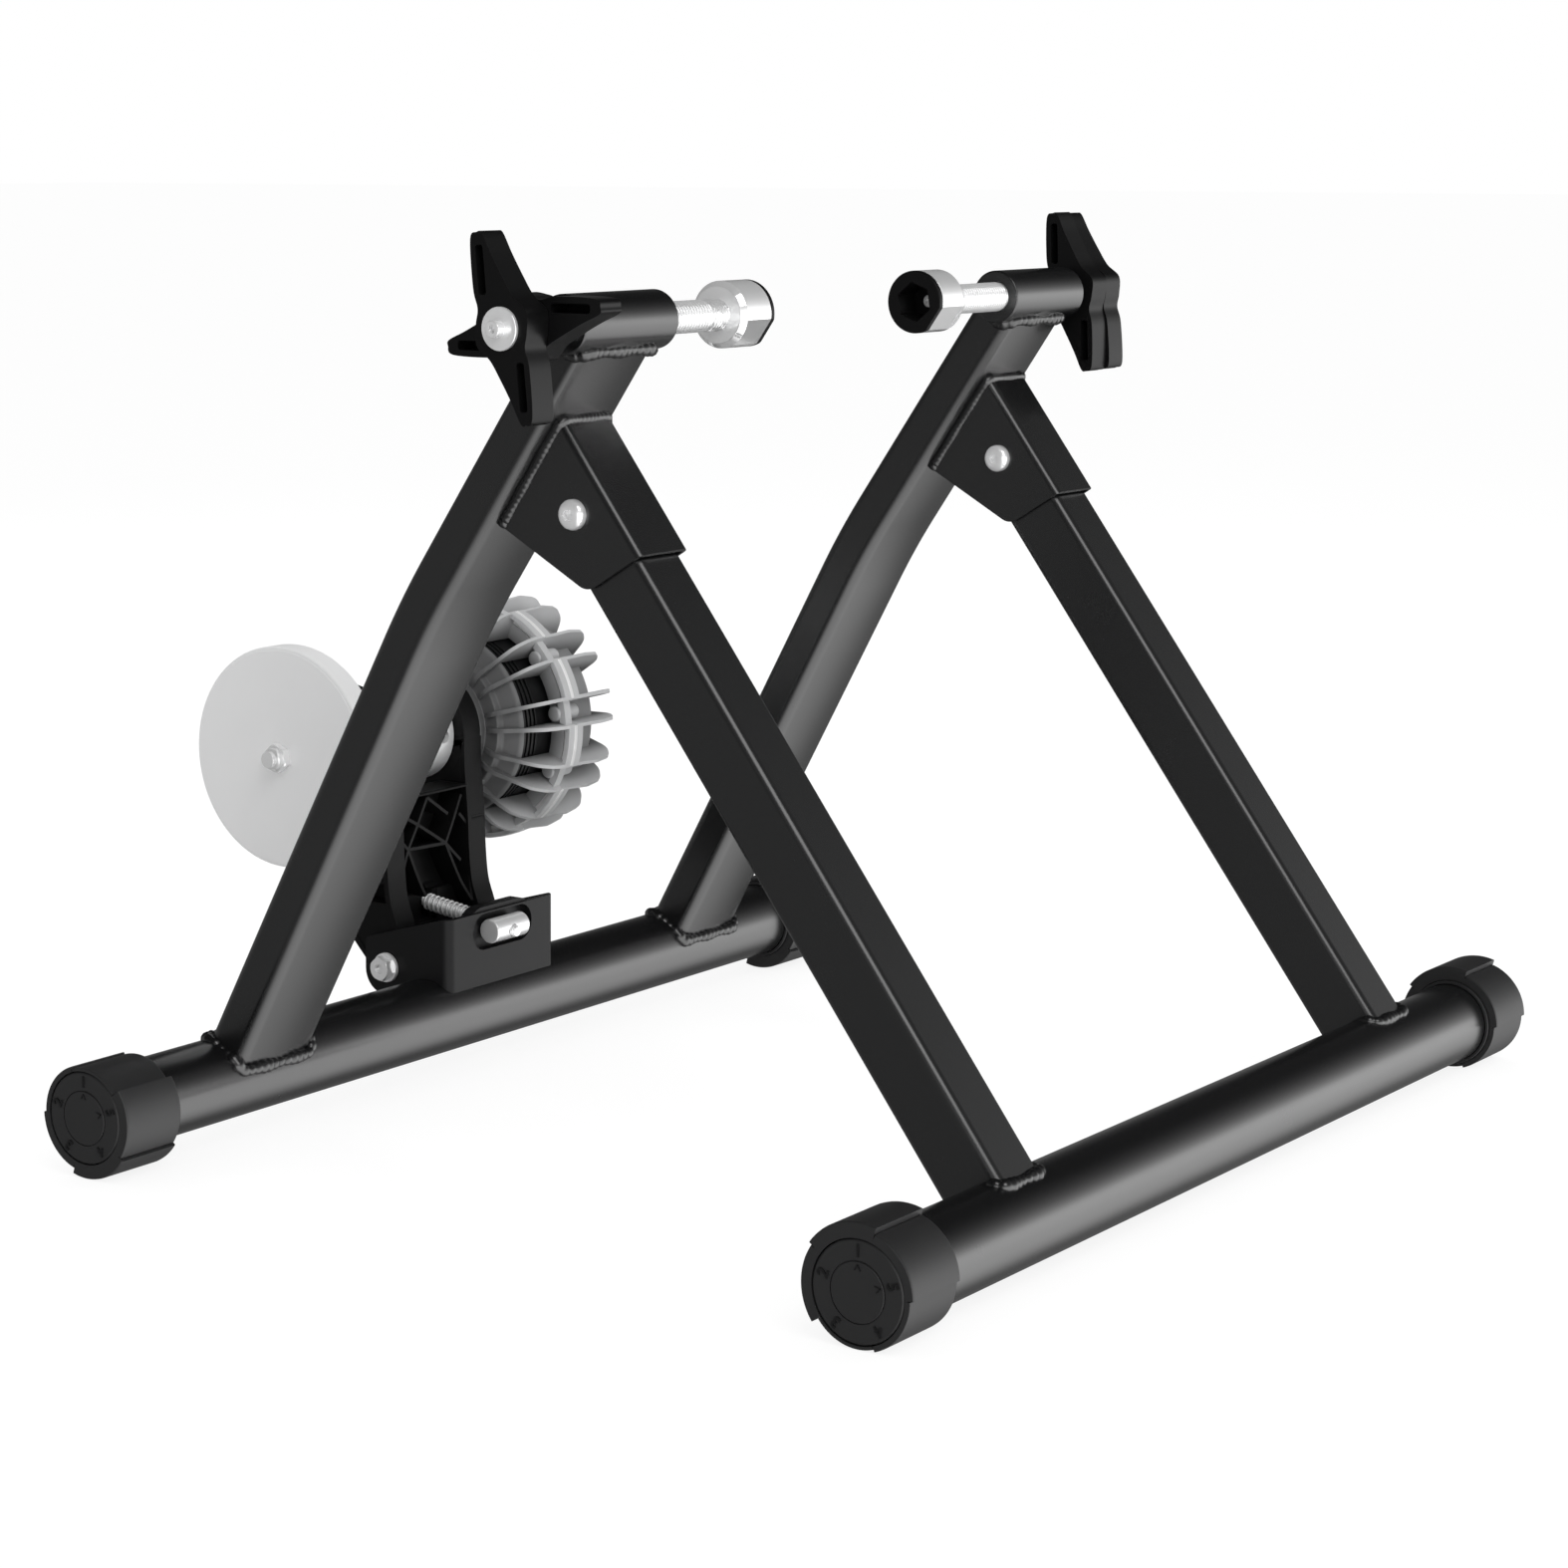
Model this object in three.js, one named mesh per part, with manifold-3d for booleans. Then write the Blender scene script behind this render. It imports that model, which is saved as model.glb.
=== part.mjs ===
// A folding indoor bike trainer: a two-frame stand, two axle clamps and a fluid roller unit.
// Lengths are millimetres. X runs along the base tubes, -Y is the front and +Z is up.
import * as THREE from 'three';
import { mergeVertices } from 'three/addons/utils/BufferGeometryUtils.js';
import Module from 'manifold-3d';

const wasm = await Module();
wasm.setup();

// Clearances and how finely round things are drawn.
const GAP = 0.3;
const OVERRUN = 2;
const ROUND = 18;
const SMALL_ROUND = 12;
const BOSS_ROUND = 6;
const CORNER_STEPS = 2;
const HEX = 6;
const WELD = 1e-4;

// The stand: the front and rear base tubes, and where the frames stand between them.
const base = { radius: 19, wall: 2, frontWidth: 566, rearWidth: 552, reach: 408.1 };
const stance = { frameX: 170, hingeBack: 201.3, hingeHeight: 271.1 };
const step = { rear: 27.4, front: 22.4 };

// The uprights are flat oval tube with one slight bend, and the legs are square tube.
// The bend and the sleeve take their places from the hinge.
const upright = { width: 50, depth: 25, radius: 5, wall: 2, bendBehind: 80.1, bendDrop: 46.7, bendReach: 20 };
const leg = { width: 30, radius: 4, wall: 2, crown: 14.7, plug: 3 };
const sleeve = { radius: 12.5, length: 64, ahead: 5.3, rise: 78.8 };

// The hinge saddle, measured along the leg from the hinge and square to it.
const saddle = {
  outside: 34.4, sheet: 1.8, frontFace: 18.4, foot: 32.3, tipAlong: 29.6, tipBehind: 13.8,
  rearAlong: 17.3, rearBehind: 34.9, rise: 45, tipRadius: 8,
};
const hingeBolt = {
  radius: 4, headRadius: 6.5, headHeight: 4.5, crown: 1.6, socket: 2.6, socketDepth: 2.2,
  nutRadius: 7.4, nutHeight: 6.5, tail: 1.5,
};

// The feet: a fixed end plug and a ring with five steps that turns on it.
const plug = { length: 35.5, radius: 20.7, disc: 5, button: 0.6, buttonRadius: 12, lip: 1.5 };
const ring = { sectorFacets: 6, frontSteps: [24.8, 27.4, 26, 22.4, 23.4], holeFacets: 20 };

// Axle clamps, given for the left side from the middle plane outwards.
const clamp = {
  leftMouth: 70, rightMouth: 65, rimLength: 2.7, cupRadius: 14.5, cupLength: 23, cupWall: 2.5, cupDepth: 17,
  flatCut: 1.6, flatAngle: 35, collarRadius: 7.8, collarLength: 11, spigotRadius: 5, screwRadius: 7,
  recess: 9.4, linerFloor: 2, washerRadius: 8.8, washerThick: 1.5, turnAfterMouth: 157.9,
};
const cupScrew = { radius: 1.5, head: 3, headHeight: 2, length: 12 };
const knobScrew = { radius: 2, head: 3.5, headHeight: 4, socket: 1.6, socketDepth: 2, length: 16 };
const knob = {
  reach: 40, thickness: 13.7, pocketDepth: 11, neckRadius: 8, neckLength: 5.6, rodHole: 4,
  armShares: [[0.395, 0.88], [0.3125, 0.955], [0.2475, 0.945], [0.135, 0.7475], [-0.0075, 0.5225],
    [-0.1475, 0.325], [-0.3175, 0.185], [-0.325, -0.0325], [-0.3025, -0.19], [-0.36, -0.395]],
  pocketShares: [[0.322, 0.825], [0.275, 0.837], [0.19, 0.705], [0.065, 0.515], [0.012, 0.412], [0.29, 0.37]],
};
const knobAngles = { left: { turn: 0, lock: -85 }, right: { turn: 0, lock: 3 } };

// The folded bracket on the rear tube that carries the roller unit.
const bracket = {
  halfWidth: 42, sheet: 3, front: 14, bottom: 13, top: 49.3, rearTop: 35, rearReach: 38.5,
  pivotBack: 25, pivotHeight: 21.5, lowEdge: 7.5, lowCorner: 12.5,
  pocketWidth: 46, pocketHeight: 18, pocketSteps: 8,
};
const pivotBolt = { radius: 4, flangeRadius: 7.4, flange: 1.6, hexRadius: 6, hexHeight: 4.4, tail: 2 };
const barrel = { radius: 6, length: 30, front: 15.5, height: 39.5 };

// The tension screw runs from the barrel nut to a half-round seat on the yoke.
const tension = {
  seatBack: 45.9, seatHeight: 48.1, seatRadius: 9, seatHalfWidth: 12, shank: 2.8, tip: 8, floorHole: 4.3,
  washerRadius: 11, washerThick: 2, knobRadius: 15.5, lobe: 1.5, lobes: 5, lobeSteps: 8, knobLength: 14,
  springSeat: 34.5, slotHalfWidth: 3.6, slotFront: 10, slotRear: 4.6, mouthHalfWidth: 7,
};
const spring = { wire: 1.3, mean: 7.4, curls: 14, stepsPerCurl: 8, sides: 5, bend: 1.2 };

// The yoke: two arms on a wide foot, with a ribbed web between them.
const unit = { back: 60, height: 127 };
const yoke = {
  halfWidth: 38.4, armInner: 25, headRadius: 30, pivotRadius: 12.5, depth: 34, height: 103, rim: 3,
  webDepth: 17, webWall: 3, rib: 2.4, sideWeb: 4, footTop: 55, footRear: 53, headSteps: 28,
  frontShares: [
    [0.62, 0.27], [0.62, 0.39], [0.75, 0.52], [0.8, 0.67], [0.82, 0.865], [0.876, 0.96], [0.967, 1.107],
  ],
  rearShares: [
    [2.56, 1.1], [2.26, 0.98], [1.98, 0.84], [1.8, 0.67], [1.68, 0.535], [1.56, 0.36], [1.09, 0.18],
  ],
};
const webNodesShares = {
  a: [-0.16, 0.97], b: [0.79, 0.93], c: [-0.82, 0.74], d: [0.34, 0.73], e: [0.44, 0.87], f: [-0.46, 0.845],
  g: [-0.4, 0.5], h: [0.92, 0.43], i: [0.7, 0.83], j: [0.78, 0.63], k: [1.04, 0.81], l: [-1.04, 0.62],
  m: [-1.04, 0.79], n: [-1.04, 0.92],
};
const webRibs = ['ac', 'ae', 'fd', 'cd', 'cg', 'dh', 'dj', 'db', 'ik', 'cl', 'cm', 'nf', 'bk'];
const sideNodesShares = {
  a: [0.8, 0.62], b: [1.75, 0.72], c: [0.82, 0.83], d: [1.9, 0.9], e: [0.95, 1.02], f: [2.3, 1.08],
  g: [1.62, 0.52], h: [0.75, 0.45],
};
const sideRibs = ['hg', 'ga', 'ab', 'bc', 'cd', 'de', 'ef'];

// What turns in the yoke's heads.
const bearing = { radius: 14, width: 10, inset: 2, lip: 9 };
const spindle = { radius: 6, endRadius: 4, left: 88, step: 77, right: 86 };
const roller = { radius: 24, halfLength: 24.6, screwX: 17, screwRadius: 3, screwSink: 3, screwLength: 10 };
const flywheel = {
  radius: 53.8, outer: 78.6, thickness: 14, rimRadius: 2.5, hubRadius: 14, hubLength: 10, sides: 30,
};
const flywheelNut = { radius: 7.25, height: 6, dome: 2 };

// The finned housing, its dark core and the impeller.
const fins = { pairs: 11, firstAngle: 67.2, window: 19.3, thickness: 2.2, shellSides: 22 };
const housing = {
  left: 38.7, flangeRadius: 29, boreRadius: 15, coneStart: 43, coneFoot: 38, coneEnd: 52, coneRadius: 47,
  wall: 3, ringStart: 70, joint: 75, ringInner: 50, ringRadius: 62, finRoot: 1.5, finFoot: 3, finBulge: 6,
  finShoulder: 64, bossRadius: 4, bossPitch: 55, bossStart: 67, pinRadius: 3.4, pinFront: 24, pinDrop: 25,
  pinStart: 41, pinLength: 9,
};
const cover = {
  flangeEnd: 81, flangeRadius: 62.5, shellInner: 47, end: 110, endHole: 8, finEnd: 115, finTip: 63,
  finShoulder: 103, finInner: 20,
};
const core = {
  radius: 46.4, left: 52.4, right: 106.4, wall: 3, hubLeft: 47, hubRadius: 14,
  groove: 1.2, grooveDepth: 1.5, grooves: 3, groovePitch: 3.2,
};
const seal = { radius: 11, width: 4, left: 48 };
const impeller = {
  hubRadius: 12, left: 70, right: 84, bladeRadius: 39, bladeThick: 2, bladeLeft: 73, bladeRight: 88, blades: 6,
};

// How the pieces look.
const finish = (color, roughness, metalness) => ({ color, roughness, metalness });
const paint = finish(0x1b1c1e, 0.38, 0.1);
const plastic = finish(0x17181a, 0.6, 0);
const casting = finish(0x131416, 0.7, 0.05);
const zinc = finish(0xc9cbcd, 0.3, 0.9);
const chrome = finish(0xe8e9ea, 0.1, 1);
const pale = finish(0xd9dbdc, 0.35, 0.8);
const grey = finish(0x9fa2a4, 0.55, 0.5);
const dark = finish(0x0c0c0d, 0.5, 0.1);

const UP = new THREE.Vector3(0, 1, 0);
const ALONG_X = new THREE.Vector3(1, 0, 0);
const YZ_ALONG_X = new THREE.Matrix4().makeBasis(
  new THREE.Vector3(0, 1, 0),
  new THREE.Vector3(0, 0, 1),
  new THREE.Vector3(1, 0, 0),
);

const radians = THREE.MathUtils.degToRad;
const yz = (y, z) => new THREE.Vector2(y, z);
const at = (x, point) => new THREE.Vector3(x, point.x, point.y);

// A closed body for cutting and joining, with its faces turned outwards.
function solid(geometry) {
  const bare = geometry.clone();
  bare.deleteAttribute('normal');
  bare.deleteAttribute('uv');
  const merged = mergeVertices(bare, WELD);
  const points = merged.attributes.position.array;
  const corner = (index) => new THREE.Vector3().fromArray(points, index * 3);
  const index = merged.index.array;
  const kept = [];
  let volume = 0;
  for (let i = 0; i < index.length; i += 3) {
    const [a, b, c] = index.slice(i, i + 3);
    if (a === b || b === c || c === a) continue;
    kept.push(a, b, c);
    volume += corner(a).dot(corner(b).cross(corner(c)));
  }
  if (volume < 0) kept.reverse();
  return new wasm.Manifold(new wasm.Mesh({
    numProp: 3,
    vertProperties: new Float32Array(points),
    triVerts: new Uint32Array(kept),
  }));
}

// The drawable geometry of a closed body.
function geometryOf(body) {
  const mesh = body.getMesh();
  const geometry = new THREE.BufferGeometry();
  geometry.setAttribute('position', new THREE.BufferAttribute(new Float32Array(mesh.vertProperties), 3));
  geometry.setIndex(new THREE.BufferAttribute(new Uint32Array(mesh.triVerts), 1));
  geometry.computeVertexNormals();
  return geometry;
}

const union = (bodies) => bodies.reduce((whole, body) => whole.add(body));

// A plate whose outline stands in the YZ plane, from x0 to x1.
function slab(outline, x0, x1) {
  const low = Math.min(x0, x1);
  const geometry = new THREE.ExtrudeGeometry(new THREE.Shape(outline), {
    depth: Math.abs(x1 - x0),
    bevelEnabled: false,
  });
  geometry.applyMatrix4(YZ_ALONG_X);
  geometry.translate(low, 0, 0);
  return solid(geometry);
}

// A body turned about a line: the profile gives [distance along the line, radius].
function turned(profile, origin, direction, sides = ROUND) {
  const outline = profile.map(([along, radius]) => new THREE.Vector2(radius, along));
  const geometry = new THREE.LatheGeometry(outline, sides);
  geometry.applyQuaternion(new THREE.Quaternion().setFromUnitVectors(UP, direction));
  geometry.translate(origin.x, origin.y, origin.z);
  return solid(geometry);
}

// A body turned about a line along X through a point of the YZ plane.
const turnedX = (profile, centre, sides) => turned(profile, at(0, centre), ALONG_X, sides);

// Round bar between two distances along a line.
const bar = (radius, from, to, origin, direction, sides) => (
  turned([[from, 0], [from, radius], [to, radius], [to, 0]], origin, direction, sides)
);
const barX = (radius, from, to, centre, sides) => bar(radius, from, to, at(0, centre), ALONG_X, sides);

// A pipe between two distances along X.
const pipeX = (inner, outer, from, to, centre, sides) => (
  turnedX([[from, inner], [from, outer], [to, outer], [to, inner], [from, inner]], centre, sides)
);

// A body through a row of like rings, each a closed convex loop of points.
function loft(rings) {
  const count = rings[0].length;
  const positions = rings.flat().flatMap((point) => point.toArray());
  const faces = [];
  for (let r = 0; r + 1 < rings.length; r += 1) {
    for (let i = 0; i < count; i += 1) {
      const next = (i + 1) % count;
      const [a, b] = [r * count + i, r * count + next];
      const [c, d] = [a + count, b + count];
      faces.push(a, b, d, a, d, c);
    }
  }
  const last = (rings.length - 1) * count;
  for (let i = 1; i + 1 < count; i += 1) {
    faces.push(0, i + 1, i, last, last + i, last + i + 1);
  }
  const geometry = new THREE.BufferGeometry();
  geometry.setAttribute('position', new THREE.Float32BufferAttribute(positions, 3));
  geometry.setIndex(faces);
  return solid(geometry);
}

// An outline with round corners: each corner is a point and its radius.
function rounded(corners, steps = CORNER_STEPS) {
  return corners.flatMap(([point, radius], i) => {
    if (!radius) return [point];
    const before = corners.at(i - 1)[0].clone().sub(point).normalize();
    const after = corners[(i + 1) % corners.length][0].clone().sub(point).normalize();
    const half = Math.acos(THREE.MathUtils.clamp(before.dot(after), -1, 1)) / 2;
    const middle = before.clone().add(after).normalize();
    const centre = point.clone().addScaledVector(middle, radius / Math.sin(half));
    const start = point.clone().addScaledVector(before, radius / Math.tan(half)).sub(centre);
    const turn = Math.sign(before.cross(after)) * (Math.PI - 2 * half);
    return Array.from({ length: steps + 1 }, (unused, k) => (
      start.clone().rotateAround(new THREE.Vector2(), -turn * (k / steps)).add(centre)
    ));
  });
}

// A rectangle with round corners about its middle.
function roundedBox(width, height, radius) {
  const [w, h] = [width / 2, height / 2];
  return rounded([[-w, -h], [w, -h], [w, h], [-w, h]].map(([u, v]) => [yz(u, v), radius]));
}

// Flat-sided tube carried along a path in the YZ plane, centred at x.
function alongPath(path, section, x) {
  const last = path.length - 1;
  return loft(path.map((point, i) => {
    const ahead = path[Math.min(i + 1, last)];
    const behind = path[Math.max(i - 1, 0)];
    const heading = ahead.clone().sub(behind).normalize();
    const across = yz(-heading.y, heading.x);
    return section.map((s) => at(x + s.x, point.clone().addScaledVector(across, s.y)));
  }));
}

// The points of a circle in the YZ plane.
function circle(centre, radius, steps) {
  return Array.from({ length: steps }, (unused, i) => {
    const angle = (2 * Math.PI * i) / steps;
    return yz(centre.x + radius * Math.cos(angle), centre.y + radius * Math.sin(angle));
  });
}

// Moves each edge of an outline inwards by a distance; the outline runs anticlockwise.
function inset(outline, distance) {
  return outline.map((point, i) => {
    const before = point.clone().sub(outline.at(i - 1)).normalize();
    const after = outline[(i + 1) % outline.length].clone().sub(point).normalize();
    const middle = yz(-before.y - after.y, before.x + after.x).normalize();
    const share = middle.dot(yz(-before.y, before.x));
    return point.clone().addScaledVector(middle, distance / share);
  });
}

const trainer = new THREE.Group();
const stand = new THREE.Group();
const lean = Math.asin((step.rear - step.front) / base.reach);
trainer.add(stand);

// Hangs a finished piece on the stand under its name.
function piece(name, body, look) {
  const mesh = new THREE.Mesh(geometryOf(body), new THREE.MeshStandardMaterial(look));
  mesh.name = name;
  stand.add(mesh);
}

const rearAxis = yz(0, 0);
const frontAxis = yz(-base.reach, 0);
const hinge = yz(-stance.hingeBack, stance.hingeHeight);
const bend = yz(upright.bendBehind - stance.hingeBack, stance.hingeHeight - upright.bendDrop);
const sleeveAxis = yz(-stance.hingeBack - sleeve.ahead, stance.hingeHeight + sleeve.rise);
const unitAxis = yz(unit.back, unit.height);
const pivot = yz(bracket.pivotBack, bracket.pivotHeight);
const barrelAxis = yz(-barrel.front, barrel.height);
const seat = yz(tension.seatBack, tension.seatHeight);
const sides = [['left', -1], ['right', 1]];

// Feet
function plugBody(axis, halfWidth, side) {
  const face = side * (halfWidth - plug.button);
  const floor = face - side * plug.disc;
  const mouth = side * (halfWidth - plug.length);
  const spigot = base.radius - base.wall - GAP;
  const tubeOuter = base.radius + GAP;
  return union([
    barX(plug.radius, floor, face, axis),
    pipeX(tubeOuter, plug.radius, floor, mouth, axis),
    barX(spigot, floor, mouth, axis),
    barX(plug.buttonRadius, face, side * halfWidth, axis),
  ]);
}

function ringBody(axis, halfWidth, side, turn) {
  const sector = (2 * Math.PI) / ring.frontSteps.length;
  const facet = sector / ring.sectorFacets;
  const outline = ring.frontSteps.flatMap((radius, k) => (
    Array.from({ length: ring.sectorFacets + 1 }, (unused, i) => {
      const angle = k * sector + i * facet + turn;
      const corner = radius / Math.cos(facet / 2);
      return yz(axis.x - corner * Math.cos(angle), axis.y + corner * Math.sin(angle));
    })
  ));
  const outer = side * (halfWidth - plug.button);
  const inner = side * (halfWidth - plug.length + plug.lip);
  const hole = (plug.radius + GAP) / Math.cos(Math.PI / ring.holeFacets);
  return slab(outline, inner, outer)
    .subtract(barX(hole, inner - side * OVERRUN, outer + side * OVERRUN, axis, ring.holeFacets));
}

function baseTube(axis, width) {
  const half = width / 2 - plug.button - plug.disc - GAP;
  return pipeX(base.radius - base.wall, base.radius, -half, half, axis);
}

piece('front_base_tube', baseTube(frontAxis, base.frontWidth), paint);
piece('rear_base_tube', baseTube(rearAxis, base.rearWidth), paint);
for (const [name, side] of sides) {
  piece(`front_plug_${name}`, plugBody(frontAxis, base.frontWidth / 2, side), plastic);
  piece(`rear_plug_${name}`, plugBody(rearAxis, base.rearWidth / 2, side), plastic);
  piece(`front_foot_ring_${name}`, ringBody(frontAxis, base.frontWidth / 2, side, lean), plastic);
  piece(`rear_foot_ring_${name}`, ringBody(rearAxis, base.rearWidth / 2, side, Math.PI + lean), plastic);
}

// Uprights, sleeves, legs and their hinge saddles
const frontTubeCut = barX(base.radius + GAP, -base.frontWidth, base.frontWidth, frontAxis);
const rearTubeCut = barX(base.radius + GAP, -base.rearWidth, base.rearWidth, rearAxis);
const sleeveCut = barX(sleeve.radius + GAP, -base.rearWidth, base.rearWidth, sleeveAxis);

const lowerHeading = bend.clone().normalize();
const upperHeading = sleeveAxis.clone().sub(bend).normalize();
const bendStart = bend.clone().addScaledVector(lowerHeading, -upright.bendReach);
const bendEnd = bend.clone().addScaledVector(upperHeading, upright.bendReach);
const bendCurve = new THREE.QuadraticBezierCurve(bendStart, bend, bendEnd);
const uprightPath = [rearAxis, ...bendCurve.getPoints(CORNER_STEPS + 1), sleeveAxis];
const faceNormal = yz(-upperHeading.y, upperHeading.x);
const uprightFace = upright.depth / 2;

const legHeading = frontAxis.clone().sub(hinge).normalize();
const legNormal = yz(legHeading.y, -legHeading.x);
const legLength = frontAxis.distanceTo(hinge);
const onLeg = (along, ahead) => (
  hinge.clone().addScaledVector(legHeading, along).addScaledVector(legNormal, ahead)
);

function uprightBody(x) {
  const outer = alongPath(uprightPath, roundedBox(upright.width, upright.depth, upright.radius), x);
  const inner = alongPath(uprightPath, roundedBox(
    upright.width - 2 * upright.wall,
    upright.depth - 2 * upright.wall,
    upright.radius - upright.wall,
  ), x);
  return outer.subtract(inner).subtract(rearTubeCut).subtract(sleeveCut);
}

function legBody(x) {
  const outer = alongPath(
    [onLeg(-leg.width, 0), onLeg(legLength, 0)],
    roundedBox(leg.width, leg.width, leg.radius),
    x,
  );
  const crown = circle(hinge, leg.crown, ROUND);
  const shaft = [
    onLeg(0, -leg.width), onLeg(0, leg.width),
    onLeg(2 * legLength, leg.width), onLeg(2 * legLength, -leg.width),
  ];
  const half = leg.width / 2 + OVERRUN;
  const shape = slab(crown, x - half, x + half).add(slab(shaft, x - half, x + half));
  const hollow = alongPath(
    [onLeg(hingeBolt.radius + leg.plug + GAP, 0), onLeg(legLength + base.radius, 0)],
    roundedBox(leg.width - 2 * leg.wall, leg.width - 2 * leg.wall, leg.radius - leg.wall),
    x,
  );
  return outer.intersect(shape)
    .subtract(hollow)
    .subtract(frontTubeCut)
    .subtract(barX(hingeBolt.radius + GAP, x - half, x + half, hinge, SMALL_ROUND));
}

function saddleBody(x) {
  const outline = rounded([
    [onLeg(-saddle.rise, saddle.frontFace), 0],
    [onLeg(saddle.foot, saddle.frontFace), 0],
    [onLeg(saddle.tipAlong, -saddle.tipBehind), saddle.tipRadius],
    [onLeg(-saddle.rearAlong, -saddle.rearBehind), 0],
    [onLeg(-saddle.rearAlong - saddle.rise, -saddle.rearBehind), 0],
  ]);
  const half = saddle.outside / 2;
  const inner = half - saddle.sheet;
  const wall = saddle.frontFace - saddle.sheet;
  const room = [
    onLeg(-2 * saddle.rise, wall), onLeg(2 * saddle.foot, wall),
    onLeg(2 * saddle.foot, -2 * saddle.rearBehind), onLeg(-2 * saddle.rise, -2 * saddle.rearBehind),
  ];
  const face = sleeveAxis.clone().addScaledVector(faceNormal, uprightFace + GAP);
  const fromFace = (along, ahead) => (
    face.clone().addScaledVector(upperHeading, along).addScaledVector(faceNormal, ahead)
  );
  const behind = [
    fromFace(stance.hingeHeight, 0), fromFace(-stance.hingeHeight, 0),
    fromFace(-stance.hingeHeight, -2 * upright.width), fromFace(stance.hingeHeight, -2 * upright.width),
  ];
  return slab(outline, x - half, x + half)
    .subtract(slab(room, x - inner, x + inner))
    .subtract(slab(behind, x - upright.width, x + upright.width))
    .subtract(barX(hingeBolt.radius + GAP, x - upright.width, x + upright.width, hinge, SMALL_ROUND));
}

function hingeBoltBody(x) {
  const outside = x - saddle.outside / 2 - GAP;
  const head = outside - hingeBolt.headHeight;
  const end = x + saddle.outside / 2 + GAP + hingeBolt.nutHeight + hingeBolt.tail;
  const bolt = turnedX([
    [head, 0], [head, hingeBolt.headRadius - hingeBolt.crown], [head + hingeBolt.crown, hingeBolt.headRadius],
    [outside, hingeBolt.headRadius], [outside, hingeBolt.radius], [end, hingeBolt.radius], [end, 0],
  ], hinge, SMALL_ROUND);
  return bolt.subtract(barX(hingeBolt.socket, head - OVERRUN, head + hingeBolt.socketDepth, hinge, HEX));
}

function nutBody(from, size, centre) {
  return barX(size.nutRadius, from, from + size.nutHeight, centre, HEX)
    .subtract(barX(size.radius + GAP, from - OVERRUN, from + size.nutHeight + OVERRUN, centre, SMALL_ROUND));
}

for (const [name, side] of sides) {
  const x = side * stance.frameX;
  const reach = sleeve.length / 2;
  piece(`rear_upright_${name}`, uprightBody(x), paint);
  const sleeveBore = clamp.screwRadius + GAP;
  piece(`clamp_sleeve_${name}`, pipeX(sleeveBore, sleeve.radius, x - reach, x + reach, sleeveAxis), paint);
  piece(`front_leg_${name}`, legBody(x), paint);
  piece(`hinge_bracket_${name}`, saddleBody(x), paint);
  piece(`hinge_bolt_${name}`, hingeBoltBody(x), zinc);
  piece(`hinge_nut_${name}`, nutBody(x + saddle.outside / 2 + GAP, hingeBolt, hinge), zinc);
}

// Axle clamps
function knobBody(from, side, turn, neck) {
  const half = knob.armShares;
  const whole = [...half, ...half.map(([a, b]) => [-a, -b])];
  const place = ([a, b]) => yz(a * knob.reach, b * knob.reach)
    .rotateAround(new THREE.Vector2(), radians(turn)).add(sleeveAxis);
  const to = from + side * knob.thickness;
  const left = Math.min(from, to);
  const pocket = (sign) => slab(
    knob.pocketShares.map(([a, b]) => place([sign * a, sign * b])),
    left - OVERRUN,
    left + knob.pocketDepth,
  );
  const wings = slab(whole.map(place), from, to).subtract(pocket(1)).subtract(pocket(-1));
  const bore = clamp.screwRadius + GAP;
  const start = from - side * (knob.neckLength + OVERRUN);
  const beyond = to + side * OVERRUN;
  if (neck) {
    return wings
      .add(barX(knob.neckRadius, from - side * knob.neckLength, from + side * OVERRUN, sleeveAxis))
      .subtract(barX(bore, start, beyond, sleeveAxis));
  }
  return wings
    .subtract(barX(bore, start, to - side * knob.rodHole, sleeveAxis))
    .subtract(barX(knobScrew.radius + GAP, start, beyond, sleeveAxis, SMALL_ROUND));
}

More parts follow.
